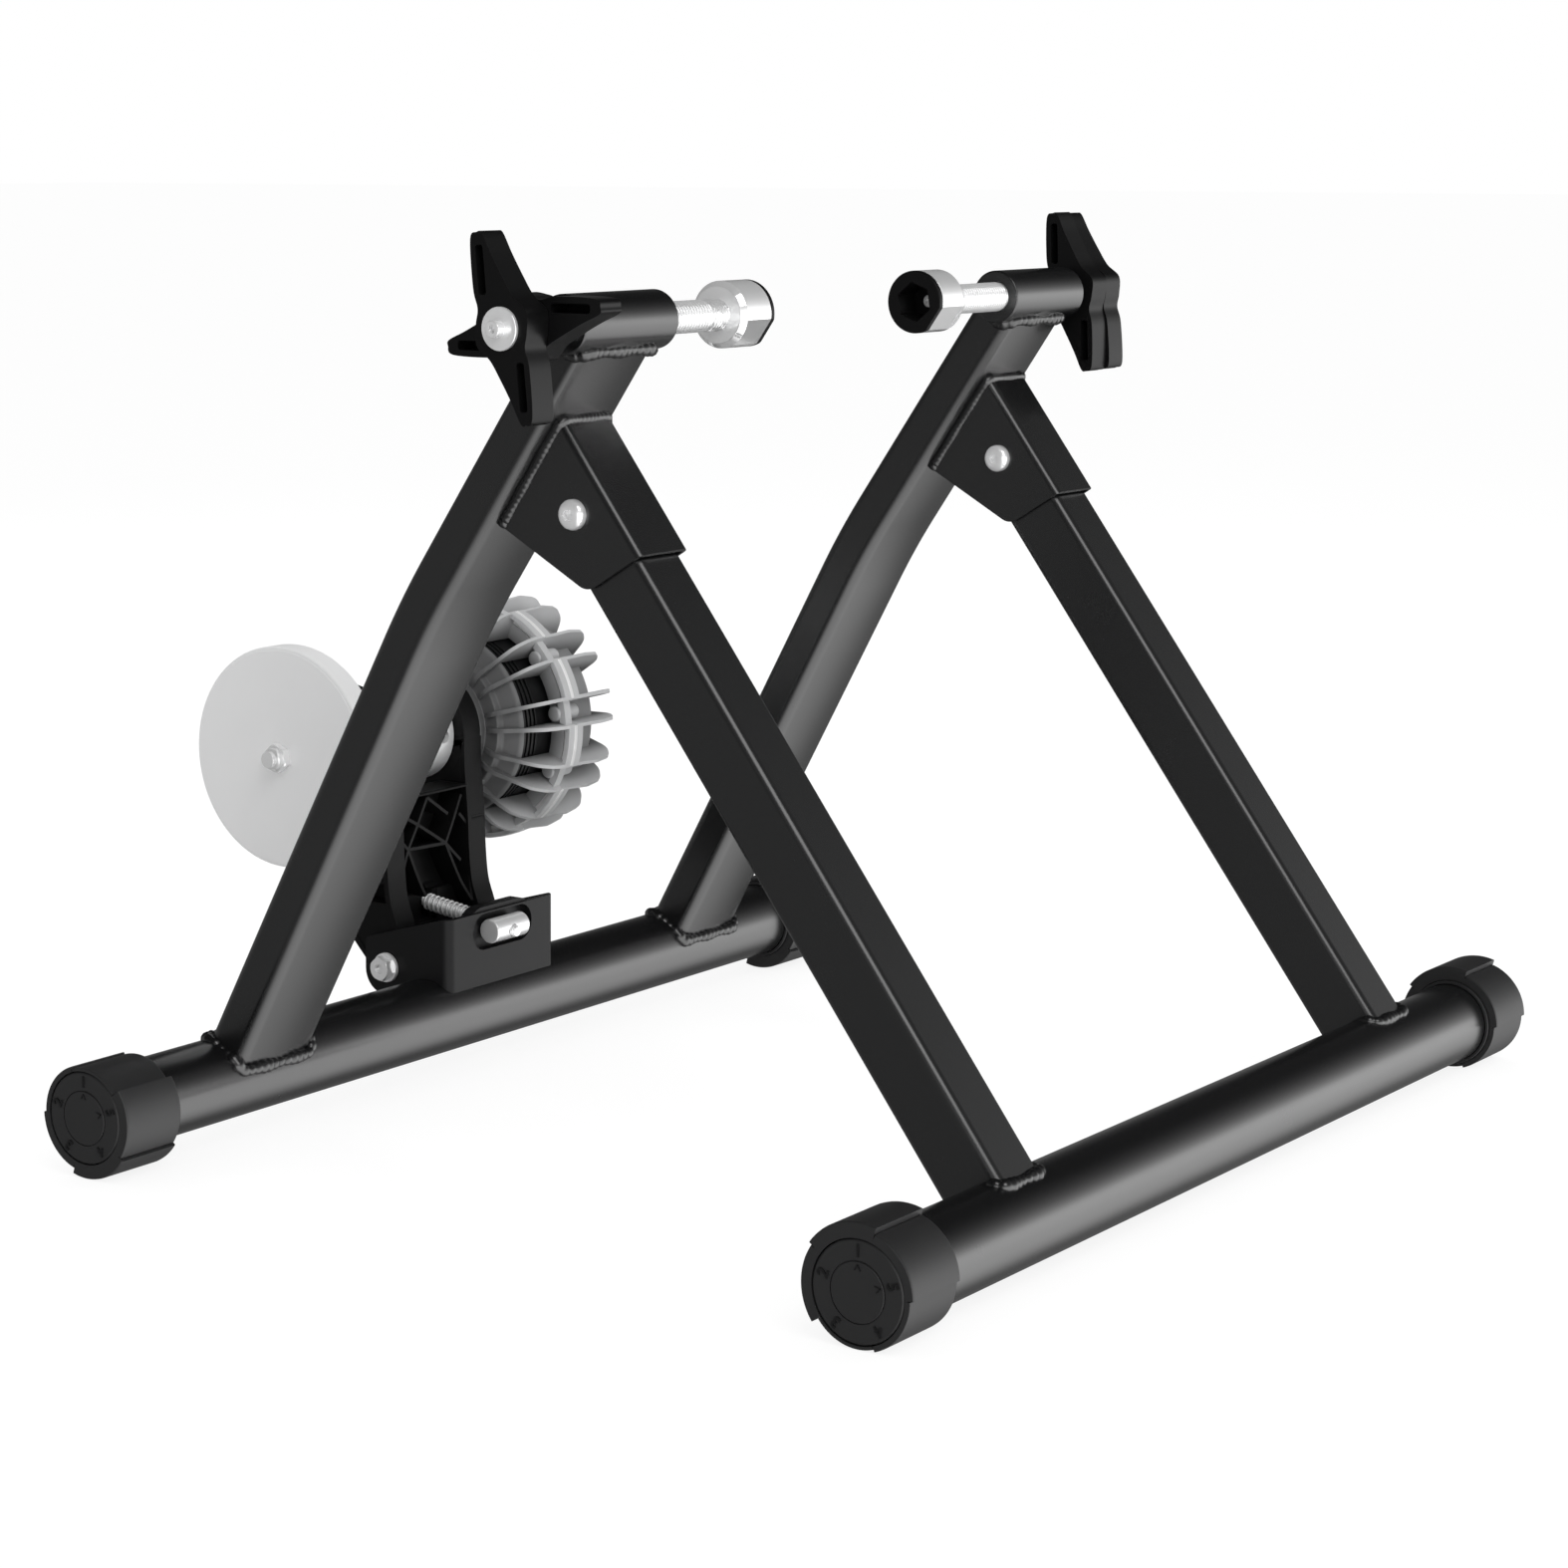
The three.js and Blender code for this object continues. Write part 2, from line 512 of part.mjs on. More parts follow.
for (const [name, side] of sides) {
  const mouth = side < 0 ? clamp.leftMouth : clamp.rightMouth;
  const out = (distance) => side * (mouth + distance);
  const rimEnd = clamp.rimLength;
  const cupFront = rimEnd + GAP;
  const cupBack = clamp.cupLength;
  const cupFloor = cupFront + clamp.cupDepth - clamp.cupWall;
  const hollow = clamp.cupRadius - clamp.cupWall;
  const bore = clamp.spigotRadius + GAP;
  const collarEnd = cupBack + clamp.collarLength;
  const cup = turnedX([
    [out(cupFront), hollow], [out(cupFront), clamp.cupRadius], [out(cupBack), clamp.cupRadius],
    [out(cupBack), clamp.collarRadius], [out(collarEnd), clamp.collarRadius], [out(collarEnd), bore],
    [out(cupFloor), bore], [out(cupFloor), hollow], [out(cupFront), hollow],
  ], sleeveAxis);
  const flat = clamp.cupRadius - clamp.flatCut;
  const flatBlock = [
    yz(-flat, -2 * flat), yz(-flat, 2 * flat), yz(-2 * flat, 2 * flat), yz(-2 * flat, -2 * flat),
  ].map((p) => p.rotateAround(new THREE.Vector2(), radians(clamp.flatAngle)).add(sleeveAxis));
  const flatEnd = cupBack - clamp.cupWall;
  piece(`axle_cup_${name}`, cup.subtract(slab(flatBlock, out(-OVERRUN), out(flatEnd))), chrome);

  const linerEnd = cupFloor - GAP;
  const recessEnd = linerEnd - clamp.linerFloor;
  const linerBody = union([
    barX(clamp.cupRadius, out(0), out(rimEnd), sleeveAxis),
    barX(hollow - GAP, out(0), out(linerEnd), sleeveAxis),
  ]);
  const recess = barX(clamp.recess, out(-OVERRUN), out(recessEnd), sleeveAxis, HEX);
  const screwHole = barX(cupScrew.radius + GAP, out(0), out(cupBack), sleeveAxis, SMALL_ROUND);
  piece(`cup_liner_${name}`, linerBody.subtract(recess).subtract(screwHole), plastic);

  const headEnd = recessEnd - GAP;
  piece(`cup_screw_${name}`, turnedX([
    [out(headEnd - cupScrew.headHeight), 0], [out(headEnd - cupScrew.headHeight), cupScrew.head],
    [out(headEnd), cupScrew.head], [out(headEnd), cupScrew.radius],
    [out(headEnd + cupScrew.length), cupScrew.radius], [out(headEnd + cupScrew.length), 0],
  ], sleeveAxis, SMALL_ROUND), zinc);

  const turnFrom = clamp.turnAfterMouth;
  const rodEnd = turnFrom + knob.thickness - knob.rodHole - GAP;
  const spigotEnd = collarEnd + GAP;
  const rod = turnedX([
    [out(cupFloor + GAP), 0], [out(cupFloor + GAP), clamp.spigotRadius], [out(spigotEnd), clamp.spigotRadius],
    [out(spigotEnd), clamp.screwRadius], [out(rodEnd), clamp.screwRadius], [out(rodEnd), 0],
  ], sleeveAxis);
  const cupScrewEnd = headEnd + cupScrew.length;
  const cupScrewHole = barX(cupScrew.radius + GAP, out(0), out(cupScrewEnd + GAP), sleeveAxis, SMALL_ROUND);
  const knobFace = turnFrom + knob.thickness;
  const washerFace = knobFace + GAP + clamp.washerThick;
  const knobScrewEnd = washerFace + GAP - knobScrew.length;
  const knobBore = knobScrew.radius + GAP;
  const knobScrewHole = barX(knobBore, out(knobScrewEnd - GAP), out(washerFace), sleeveAxis, SMALL_ROUND);
  piece(`clamp_screw_${name}`, rod.subtract(cupScrewHole).subtract(knobScrewHole), zinc);

  const washer = pipeX(knobBore, clamp.washerRadius, out(knobFace + GAP), out(washerFace), sleeveAxis);
  piece(`knob_washer_${name}`, washer, zinc);
  const headStart = washerFace + GAP;
  const knobScrewBody = turnedX([
    [out(headStart + knobScrew.headHeight), 0], [out(headStart + knobScrew.headHeight), knobScrew.head],
    [out(headStart), knobScrew.head], [out(headStart), knobScrew.radius],
    [out(knobScrewEnd), knobScrew.radius], [out(knobScrewEnd), 0],
  ], sleeveAxis, SMALL_ROUND);
  const socket = barX(
    knobScrew.socket,
    out(headStart + knobScrew.headHeight - knobScrew.socketDepth),
    out(headStart + knobScrew.headHeight + OVERRUN),
    sleeveAxis,
    HEX,
  );
  piece(`knob_screw_${name}`, knobScrewBody.subtract(socket), zinc);

  const lockFrom = turnFrom - GAP - knob.thickness;
  piece(`turn_knob_${name}`, knobBody(out(turnFrom), side, knobAngles[name].turn, false), plastic);
  piece(`lock_knob_${name}`, knobBody(out(lockFrom), side, knobAngles[name].lock, true), plastic);
}

// The roller unit's bracket with its pocket, its pivot and the barrel nut
const tensionHeading = seat.clone().sub(barrelAxis).normalize();
const seatDistance = seat.distanceTo(barrelAxis);
const heading3 = at(0, tensionHeading);
const barrelCentre = at(0, barrelAxis);
const pocketFloor = -barrel.front + barrel.radius + GAP;

function stadium(width, height, grow, y0, y1) {
  const radius = height / 2 + grow;
  const half = width / 2 - height / 2;
  const end = (sign) => Array.from({ length: bracket.pocketSteps + 1 }, (unused, i) => {
    const angle = Math.PI * (i / bracket.pocketSteps) - Math.PI / 2;
    return new THREE.Vector2(sign * (half + radius * Math.cos(angle)), sign * radius * Math.sin(angle));
  });
  const geometry = new THREE.ExtrudeGeometry(new THREE.Shape([...end(1), ...end(-1)]), {
    depth: y1 - y0,
    bevelEnabled: false,
  });
  geometry.rotateX(Math.PI / 2);
  geometry.translate(0, y1, barrel.height);
  return solid(geometry);
}

function bracketBody() {
  const { halfWidth, sheet, front, bottom, top, lowEdge, pocketWidth, pocketHeight } = bracket;
  const plateOutline = [
    yz(-front, bottom), yz(sheet - front, bottom), yz(sheet - front, top), yz(-front, top),
  ];
  const outline = rounded([
    [yz(-front, top), 0], [yz(-front, bottom), 0], [yz(bracket.pivotBack, lowEdge), 0],
    [yz(bracket.rearReach, lowEdge), bracket.lowCorner], [yz(bracket.rearReach, bracket.rearTop), 0],
  ]);
  const plate = slab(plateOutline, -halfWidth, halfWidth);
  const cheeks = sides.map(([, side]) => slab(outline, side * halfWidth, side * (halfWidth - sheet)));
  const tray = stadium(pocketWidth, pocketHeight, sheet, sheet / 2 - front, pocketFloor + sheet);
  const room = stadium(pocketWidth, pocketHeight, 0, -front - OVERRUN, pocketFloor);
  return union([plate, ...cheeks, tray])
    .subtract(room)
    .subtract(rearTubeCut)
    .subtract(bar(tension.floorHole, 0, tension.seatBack, barrelCentre, heading3, SMALL_ROUND))
    .subtract(barX(pivotBolt.radius + GAP, -base.rearWidth, base.rearWidth, pivot, SMALL_ROUND));
}

piece('unit_bracket', bracketBody(), paint);

function pivotBoltBody() {
  const outside = -bracket.halfWidth - GAP;
  const flangeEnd = outside - pivotBolt.flange;
  const end = bracket.halfWidth + GAP + hingeBolt.nutHeight + pivotBolt.tail;
  return union([
    turnedX([
      [flangeEnd, 0], [flangeEnd, pivotBolt.flangeRadius], [outside, pivotBolt.flangeRadius],
      [outside, pivotBolt.radius], [end, pivotBolt.radius], [end, 0],
    ], pivot, SMALL_ROUND),
    barX(pivotBolt.hexRadius, flangeEnd - pivotBolt.hexHeight, flangeEnd + pivotBolt.flange / 2, pivot, HEX),
  ]);
}

piece('pivot_bolt', pivotBoltBody(), zinc);
piece('pivot_nut', nutBody(bracket.halfWidth + GAP, hingeBolt, pivot), zinc);

const shankHole = tension.shank + GAP;
const barrelHole = bar(shankHole, -tension.seatBack, tension.seatBack, barrelCentre, heading3, SMALL_ROUND);
const barrelBody = barX(barrel.radius, -barrel.length / 2, barrel.length / 2, barrelAxis, SMALL_ROUND);
piece('barrel_nut', barrelBody.subtract(barrelHole), zinc);

// Tension screw, its spring, washer and knob
const washerFrom = seatDistance + tension.seatRadius + GAP;
const knobFrom = washerFrom + tension.washerThick + GAP;
const knobEnd = knobFrom + tension.knobLength;
const tensionShank = bar(tension.shank, -tension.tip, knobEnd - OVERRUN, barrelCentre, heading3, SMALL_ROUND);
piece('tension_bolt', tensionShank, zinc);
piece('tension_washer', turned([
  [washerFrom, shankHole], [washerFrom, tension.washerRadius],
  [washerFrom + tension.washerThick, tension.washerRadius], [washerFrom + tension.washerThick, shankHole],
  [washerFrom, shankHole],
], barrelCentre, heading3), zinc);

function tensionKnobBody() {
  const count = tension.lobes * tension.lobeSteps;
  const outline = Array.from({ length: count }, (unused, i) => {
    const angle = (2 * Math.PI * i) / count;
    const radius = tension.knobRadius + tension.lobe * (Math.cos(tension.lobes * angle) - 1);
    return new THREE.Vector2(radius * Math.cos(angle), radius * Math.sin(angle));
  });
  const geometry = new THREE.ExtrudeGeometry(new THREE.Shape(outline), {
    depth: tension.knobLength,
    bevelEnabled: false,
  });
  geometry.rotateX(-Math.PI / 2);
  geometry.applyQuaternion(new THREE.Quaternion().setFromUnitVectors(UP, heading3));
  const start = barrelCentre.clone().addScaledVector(heading3, knobFrom);
  geometry.translate(start.x, start.y, start.z);
  const boreEnd = knobEnd - OVERRUN + GAP;
  return solid(geometry)
    .subtract(bar(shankHole, knobFrom - OVERRUN, boreEnd, barrelCentre, heading3, SMALL_ROUND));
}

piece('tension_knob', tensionKnobBody(), plastic);

// The spring's centre line: a straight end, a quarter bend, the curls, and the same again.
function springPath() {
  const along = heading3;
  const sideways = new THREE.Vector3(1, 0, 0);
  const across = new THREE.Vector3().crossVectors(along, sideways);
  const slope = 1 / tensionHeading.x;
  const from = (pocketFloor + bracket.sheet + barrel.front) * slope + GAP;
  const to = (tension.springSeat + barrel.front) * slope - GAP;
  const radius = spring.mean / 2;
  const lead = spring.wire + spring.bend;
  const rise = to - from - 2 * lead;
  const point = (turn, height) => barrelCentre.clone()
    .addScaledVector(along, height)
    .addScaledVector(sideways, radius * Math.cos(turn))
    .addScaledVector(across, radius * Math.sin(turn));
  const tangent = (turn) => (
    across.clone().multiplyScalar(Math.cos(turn)).addScaledVector(sideways, -Math.sin(turn))
  );
  const steps = spring.curls * spring.stepsPerCurl;
  const curls = Array.from({ length: steps + 1 }, (unused, i) => (
    point((2 * Math.PI * i) / spring.stepsPerCurl, from + lead + rise * (i / steps))
  ));
  const end = (anchor, heading, sign) => {
    const inner = (angle) => anchor.clone()
      .addScaledVector(heading, -sign * spring.bend * (1 - Math.sin(angle)))
      .addScaledVector(along, -sign * spring.bend * (1 - Math.cos(angle)));
    const corner = anchor.clone()
      .addScaledVector(heading, -sign * spring.bend)
      .addScaledVector(along, -sign * spring.bend);
    const tip = corner.clone().addScaledVector(along, -sign * spring.wire);
    return { tip, corner, middle: inner(Math.PI / 4) };
  };
  const lastTurn = 2 * Math.PI * spring.curls;
  const start = end(curls[0], tangent(0), 1);
  const stop = end(curls[steps], tangent(lastTurn), -1);
  return [start.tip, start.corner, start.middle, ...curls, stop.middle, stop.corner, stop.tip];
}

function springBody() {
  const points = springPath();
  const last = points.length - 1;
  let side = new THREE.Vector3(1, 0, 0);
  const rings = points.map((point, i) => {
    const heading = points[Math.min(i + 1, last)].clone().sub(points[Math.max(i - 1, 0)]).normalize();
    side = side.addScaledVector(heading, -side.dot(heading)).normalize();
    const other = new THREE.Vector3().crossVectors(heading, side);
    return Array.from({ length: spring.sides }, (unused, k) => {
      const angle = (2 * Math.PI * k) / spring.sides;
      return point.clone()
        .addScaledVector(side, (spring.wire / 2) * Math.cos(angle))
        .addScaledVector(other, (spring.wire / 2) * Math.sin(angle));
    });
  });
  return loft(rings);
}

// The least gap between one curl and the next, measured on the centre line's points.
function springGap() {
  const points = springPath();
  const apart = spring.stepsPerCurl / 2;
  let least = Infinity;
  points.forEach((point, i) => points.slice(i + apart).forEach((other) => {
    least = Math.min(least, point.distanceTo(other));
  }));
  return least - spring.wire;
}

console.log(`tension spring: least gap to itself ${springGap().toFixed(2)} mm`);
piece('tension_spring', springBody(), zinc);

// The yoke
const yokePoint = ([a, b]) => yz(a * yoke.depth, b * yoke.height);

function rib(from, to, place, extrude) {
  const [a, b] = [place(from), place(to)];
  const heading = b.clone().sub(a).normalize();
  const across = yz(-heading.y, heading.x).multiplyScalar(yoke.rib / 2);
  return extrude([a.clone().sub(across), b.clone().sub(across), b.clone().add(across), a.clone().add(across)]);
}

function frontPlate(outline, y0, y1) {
  const geometry = new THREE.ExtrudeGeometry(new THREE.Shape(outline), {
    depth: y1 - y0,
    bevelEnabled: false,
  });
  geometry.rotateX(Math.PI / 2);
  geometry.translate(0, y1, 0);
  return solid(geometry);
}

function yokeBody() {
  const front = yoke.frontShares.map(yokePoint);
  const rear = yoke.rearShares.map(yokePoint);
  const armOutline = [...front.slice().reverse(), ...rear.slice().reverse()];
  const inner = inset(armOutline, THREE.ShapeUtils.area(armOutline) > 0 ? yoke.rim : -yoke.rim);
  const armRibs = sideRibs.map(([a, b]) => rib(
    sideNodesShares[a],
    sideNodesShares[b],
    yokePoint,
    (outline) => slab(outline, -yoke.halfWidth, yoke.halfWidth),
  ));
  const head = barX(yoke.headRadius, -yoke.halfWidth, yoke.halfWidth, unitAxis, yoke.headSteps);
  const seatRim = barX(bearing.radius + yoke.rim + GAP, -yoke.halfWidth, yoke.halfWidth, unitAxis);
  const strip = (from, to) => [
    ...front.map((p) => yz(p.x + from, Math.min(p.y, yoke.height))),
    ...front.slice().reverse().map((p) => yz(p.x + to, Math.min(p.y, yoke.height))),
  ];
  const span = yoke.armInner + OVERRUN;
  const ribs = union(webRibs.map(([a, b]) => rib(
    webNodesShares[a],
    webNodesShares[b],
    ([u, v]) => new THREE.Vector2(u * yoke.armInner, v * yoke.height),
    (outline) => frontPlate(outline, 0, unit.back),
  )));
  const lattice = ribs.intersect(slab(strip(0, yoke.webDepth), -span, span));
  const topFront = front.at(-2).x;
  const topRear = topFront + yoke.webDepth;
  const topRibFoot = yoke.height - yoke.rib;
  const topRibOutline = [
    yz(topFront, topRibFoot), yz(topRear, topRibFoot), yz(topRear, yoke.height), yz(topFront, yoke.height),
  ];
  const footOutline = [
    front[0], front[1], yz(front[2].x - yoke.rib, yoke.footTop), yz(yoke.footRear, yoke.footTop),
    yz(yoke.footRear, pivot.y + yoke.pivotRadius), yz(pivot.x + yoke.pivotRadius, pivot.y), pivot,
  ];
  const arms = sides.map(([, side]) => {
    const [near, far] = [side * yoke.armInner, side * yoke.halfWidth];
    const web = side * (yoke.armInner + yoke.sideWeb);
    const arm = slab(armOutline, near, far).add(barX(yoke.headRadius, near, far, unitAxis, yoke.headSteps));
    const hollow = slab(inner, web, far + side * OVERRUN)
      .subtract(union(armRibs))
      .subtract(seatRim)
      .subtract(slab(footOutline, -yoke.halfWidth, yoke.halfWidth));
    return arm.subtract(hollow);
  });
  const hub = barX(yoke.pivotRadius, -yoke.halfWidth, yoke.halfWidth, pivot);
  const halfRound = barX(tension.seatRadius, -tension.seatHalfWidth, tension.seatHalfWidth, seat);
  let body = union([
    slab(footOutline, -yoke.halfWidth, yoke.halfWidth), hub, halfRound, ...arms, lattice,
    slab(strip(yoke.webDepth - yoke.webWall, yoke.webDepth), -span, span),
    slab(topRibOutline, -span, span),
  ]);
  const springEnd = (tension.springSeat + barrel.front) / tensionHeading.x;
  const slotEnd = seatDistance + tension.seatRadius + OVERRUN;
  const up = yz(-tensionHeading.y, tensionHeading.x);
  const onScrew = (along, above) => (
    barrelAxis.clone().addScaledVector(tensionHeading, along).addScaledVector(up, above)
  );
  const slot = slab([
    onScrew(springEnd - OVERRUN, -tension.slotFront), onScrew(slotEnd, -tension.slotRear),
    onScrew(slotEnd, tension.slotRear), onScrew(springEnd - OVERRUN, tension.slotFront),
  ], -tension.slotHalfWidth, tension.slotHalfWidth);
  const mouth = slab([
    onScrew(0, -tension.slotFront), onScrew(springEnd, -tension.slotFront),
    onScrew(springEnd, tension.slotFront), onScrew(0, tension.slotFront),
  ], -tension.mouthHalfWidth, tension.mouthHalfWidth);
  body = body.subtract(slot).subtract(mouth)
    .subtract(barX(pivotBolt.radius + GAP, -base.rearWidth, base.rearWidth, pivot, SMALL_ROUND))
    .subtract(barX(bearing.lip, -yoke.halfWidth - OVERRUN, yoke.halfWidth + OVERRUN, unitAxis));
  for (const [, side] of sides) {
    const from = side * (yoke.armInner + bearing.inset);
    body = body.subtract(barX(bearing.radius + GAP, from, side * (yoke.halfWidth + OVERRUN), unitAxis));
  }
  return body;
}

piece('yoke', yokeBody(), casting);

// Roller, spindle, bearings and flywheel
const spindleHole = spindle.radius + GAP;
for (const [name, side] of sides) {
  const from = yoke.armInner + bearing.inset + GAP;
  const to = from + bearing.width;
  piece(`bearing_${name}`, pipeX(spindleHole, bearing.radius, side * from, side * to, unitAxis), zinc);
}
piece('spindle', turnedX([
  [-spindle.left, 0], [-spindle.left, spindle.endRadius], [-spindle.step, spindle.endRadius],
  [-spindle.step, spindle.radius], [spindle.right, spindle.radius], [spindle.right, 0],
], unitAxis, SMALL_ROUND), zinc);

const toFront = new THREE.Vector3(0, -1, 0);
const screwOrigin = at(roller.screwX, unitAxis);
const rollerTube = pipeX(
  spindleHole,
  roller.radius,
  -roller.halfLength,
  roller.halfLength,
  unitAxis,
  flywheel.sides,
);
const towardsFront = (radius, from, to, facets) => bar(radius, from, to, screwOrigin, toFront, facets);
const rollerTop = roller.radius + OVERRUN;
const screwHole = towardsFront(roller.screwRadius + GAP, spindle.radius, rollerTop, SMALL_ROUND);
piece('roller', rollerTube.subtract(screwHole), pale);
const screwTop = roller.radius - roller.screwSink;
const setScrew = towardsFront(roller.screwRadius, screwTop - roller.screwLength, screwTop, SMALL_ROUND);
const screwSocket = towardsFront(roller.screwRadius / 2, screwTop - roller.screwSink, rollerTop, HEX);
piece('roller_set_screw', setScrew.subtract(screwSocket), zinc);

function flywheelBody() {
  const { radius, outer, thickness, rimRadius, hubRadius, hubLength } = flywheel;
  const arc = (cx, sign) => Array.from({ length: CORNER_STEPS + 1 }, (unused, i) => {
    const angle = (Math.PI / 2) * (i / CORNER_STEPS);
    const turn = sign < 0 ? angle : Math.PI / 2 - angle;
    return [cx + sign * rimRadius * Math.cos(turn), radius - rimRadius + rimRadius * Math.sin(turn)];
  });
  const inner = thickness - outer;
  return turnedX([
    [-outer, spindleHole], ...arc(rimRadius - outer, -1), ...arc(inner - rimRadius, 1),
    [inner, hubRadius], [inner + hubLength, hubRadius], [inner + hubLength, spindleHole], [-outer, spindleHole],
  ], unitAxis, flywheel.sides);
}

piece('flywheel', flywheelBody(), pale);
const nutFace = -flywheel.outer - GAP;
const nutTop = nutFace - flywheelNut.height;
const nutShape = turnedX([
  [nutFace, 0], [nutFace, flywheelNut.radius], [nutTop + flywheelNut.dome, flywheelNut.radius],
  [nutTop, flywheelNut.radius - flywheelNut.dome], [nutTop, 0],
], unitAxis, HEX);
const nutBore = barX(spindle.endRadius + GAP, nutTop - OVERRUN, nutFace + OVERRUN, unitAxis, SMALL_ROUND);
piece('flywheel_nut', nutShape.subtract(nutBore), zinc);

// The finned housing: a fin is a thin plate through the axis, turned up from the front
function fin(outline, angle, thickness) {
  const outward = new THREE.Vector3(0, -Math.cos(angle), Math.sin(angle));
  const across = new THREE.Vector3().crossVectors(ALONG_X, outward);
  const geometry = new THREE.ExtrudeGeometry(new THREE.Shape(outline), { depth: thickness, bevelEnabled: false });
  geometry.translate(0, 0, -thickness / 2);
  geometry.applyMatrix4(new THREE.Matrix4().makeBasis(ALONG_X, outward, across));
  geometry.translate(0, unit.back, unit.height);
  return solid(geometry);
}

const finPitch = 360 / fins.pairs;
const pairAngles = Array.from({ length: fins.pairs }, (unused, i) => fins.firstAngle - i * finPitch);
const finAngles = pairAngles.flatMap((angle) => [radians(angle), radians(angle - fins.window)]);
const bossAngles = pairAngles.map((angle) => radians(angle - (fins.window + finPitch) / 2));
const xr = (x, r) => new THREE.Vector2(x, r);

function housingBody() {
  const h = housing;
  const shellBody = turnedX([
    [h.left, h.boreRadius], [h.left, h.flangeRadius], [h.coneStart, h.flangeRadius], [h.coneStart, h.coneFoot],
    [h.coneEnd, h.coneRadius], [h.coneEnd, h.coneRadius - h.wall], [h.coneStart + h.wall, h.coneFoot - h.wall],
    [h.coneStart + h.wall, h.boreRadius], [h.left, h.boreRadius],
  ], unitAxis, fins.shellSides);
  const rim = pipeX(h.ringInner, h.ringRadius, h.ringStart, h.joint, unitAxis, fins.shellSides);
  const outline = [
    xr(h.coneStart - h.finRoot, h.flangeRadius - h.wall), xr(h.coneStart - h.finRoot, h.coneFoot - h.wall),
    xr(h.coneStart, h.coneFoot + h.finFoot), xr(h.coneEnd, h.coneRadius + h.finBulge),
    xr(h.finShoulder, h.ringRadius), xr(h.joint, h.ringRadius),
    xr(h.joint, h.coneRadius + GAP), xr(h.coneEnd, h.coneRadius + GAP),
    xr(h.coneEnd - h.wall, h.coneRadius - 2 * h.wall), xr(h.coneStart + h.finRoot, h.flangeRadius),
  ];
  const bosses = bossAngles.map((angle) => {
    const centre = yz(unit.back - h.bossPitch * Math.cos(angle), unit.height + h.bossPitch * Math.sin(angle));
    return barX(h.bossRadius, h.bossStart, h.joint, centre, BOSS_ROUND);
  });
  const pinCentre = yz(unit.back - h.pinFront, unit.height - h.pinDrop);
  return union([
    shellBody, rim, ...finAngles.map((angle) => fin(outline, angle, fins.thickness)), ...bosses,
    barX(h.pinRadius, h.pinStart, h.pinStart + h.pinLength, pinCentre, BOSS_ROUND),
  ]);
}

function coverBody() {
  const c = cover;
  const start = housing.joint + GAP;
  const outer = c.shellInner + housing.wall;
  const shellBody = turnedX([
    [start, c.shellInner], [start, c.flangeRadius], [c.flangeEnd, c.flangeRadius], [c.flangeEnd, outer],
    [c.end - housing.wall, outer], [c.end, outer - housing.wall], [c.end, c.endHole],
    [c.end - housing.wall, c.endHole], [c.end - housing.wall, c.shellInner], [start, c.shellInner],
  ], unitAxis, fins.shellSides);
  const outline = [
    xr(c.flangeEnd - housing.wall, outer - OVERRUN), xr(c.flangeEnd - housing.wall, c.finTip),
    xr(c.finShoulder, c.finTip), xr(c.finEnd, outer),
    xr(c.finEnd, c.finInner), xr(c.end - OVERRUN, c.finInner),
    xr(c.end - OVERRUN, outer - OVERRUN),
  ];
  return union([shellBody, ...finAngles.map((angle) => fin(outline, angle, fins.thickness))]);
}

piece('fluid_housing_inner', housingBody(), grey);
piece('fluid_housing_outer', coverBody(), grey);

function coreBody() {
  const c = core;
  const hole = seal.radius + GAP;
  const grooves = Array.from({ length: c.grooves }, (unused, i) => {
    const start = c.left + c.groove + i * c.groovePitch;
    return [
      [start, c.radius], [start + c.groove / 2, c.radius - c.grooveDepth], [start + c.groove, c.radius],
    ];
  }).flat();
  return turnedX([
    [c.hubLeft, hole], [c.hubLeft, c.hubRadius], [c.left, c.hubRadius], [c.left, c.radius], ...grooves,
    [c.right, c.radius], [c.right, 0], [c.right - c.wall, 0], [c.right - c.wall, c.radius - c.wall],
    [c.left + c.wall, c.radius - c.wall], [c.left + c.wall, spindleHole],
    [seal.left + seal.width + GAP, spindleHole], [seal.left + seal.width + GAP, hole], [c.hubLeft, hole],
  ], unitAxis, fins.shellSides);
}

piece('fluid_core', coreBody(), dark);
piece('shaft_seal', pipeX(spindleHole, seal.radius, seal.left, seal.left + seal.width, unitAxis), dark);

function impellerBody() {
  const i = impeller;
  const blades = Array.from({ length: i.blades }, (unused, k) => fin([
    xr(i.bladeLeft, i.hubRadius - OVERRUN), xr(i.bladeLeft, i.bladeRadius),
    xr(i.bladeRight, i.bladeRadius), xr(i.bladeRight, i.hubRadius - OVERRUN),
  ], (2 * Math.PI * k) / i.blades, i.bladeThick));
  return union([pipeX(spindleHole, i.hubRadius, i.left, i.right, unitAxis), ...blades]);
}

piece('impeller', impellerBody(), plastic);

// The rear feet stand on a thicker step than the front ones, so the stand leans a little forwards.
stand.rotation.x = lean;
stand.position.z = step.rear;
trainer.updateMatrixWorld(true);
const box = new THREE.Box3().setFromObject(trainer, true);
stand.position.y = -(box.min.y + box.max.y) / 2;
stand.position.x = -(box.min.x + box.max.x) / 2;
trainer.updateMatrixWorld(true);

export default trainer;
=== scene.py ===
"""The looks of a folding indoor bike trainer, built around its packed construction.

Shapes are worked out in the stand's own level frame, in millimetres: X runs along the base
tubes, the rear tube's axis is Y = Z = 0, and -Y is the front. LevelFrame turns them into the
row frame, where the stand leans a little forwards on its feet.
"""

import sys

import logging
import math
from dataclasses import dataclass, field
from enum import Enum
from typing import Any, Iterable, Sequence

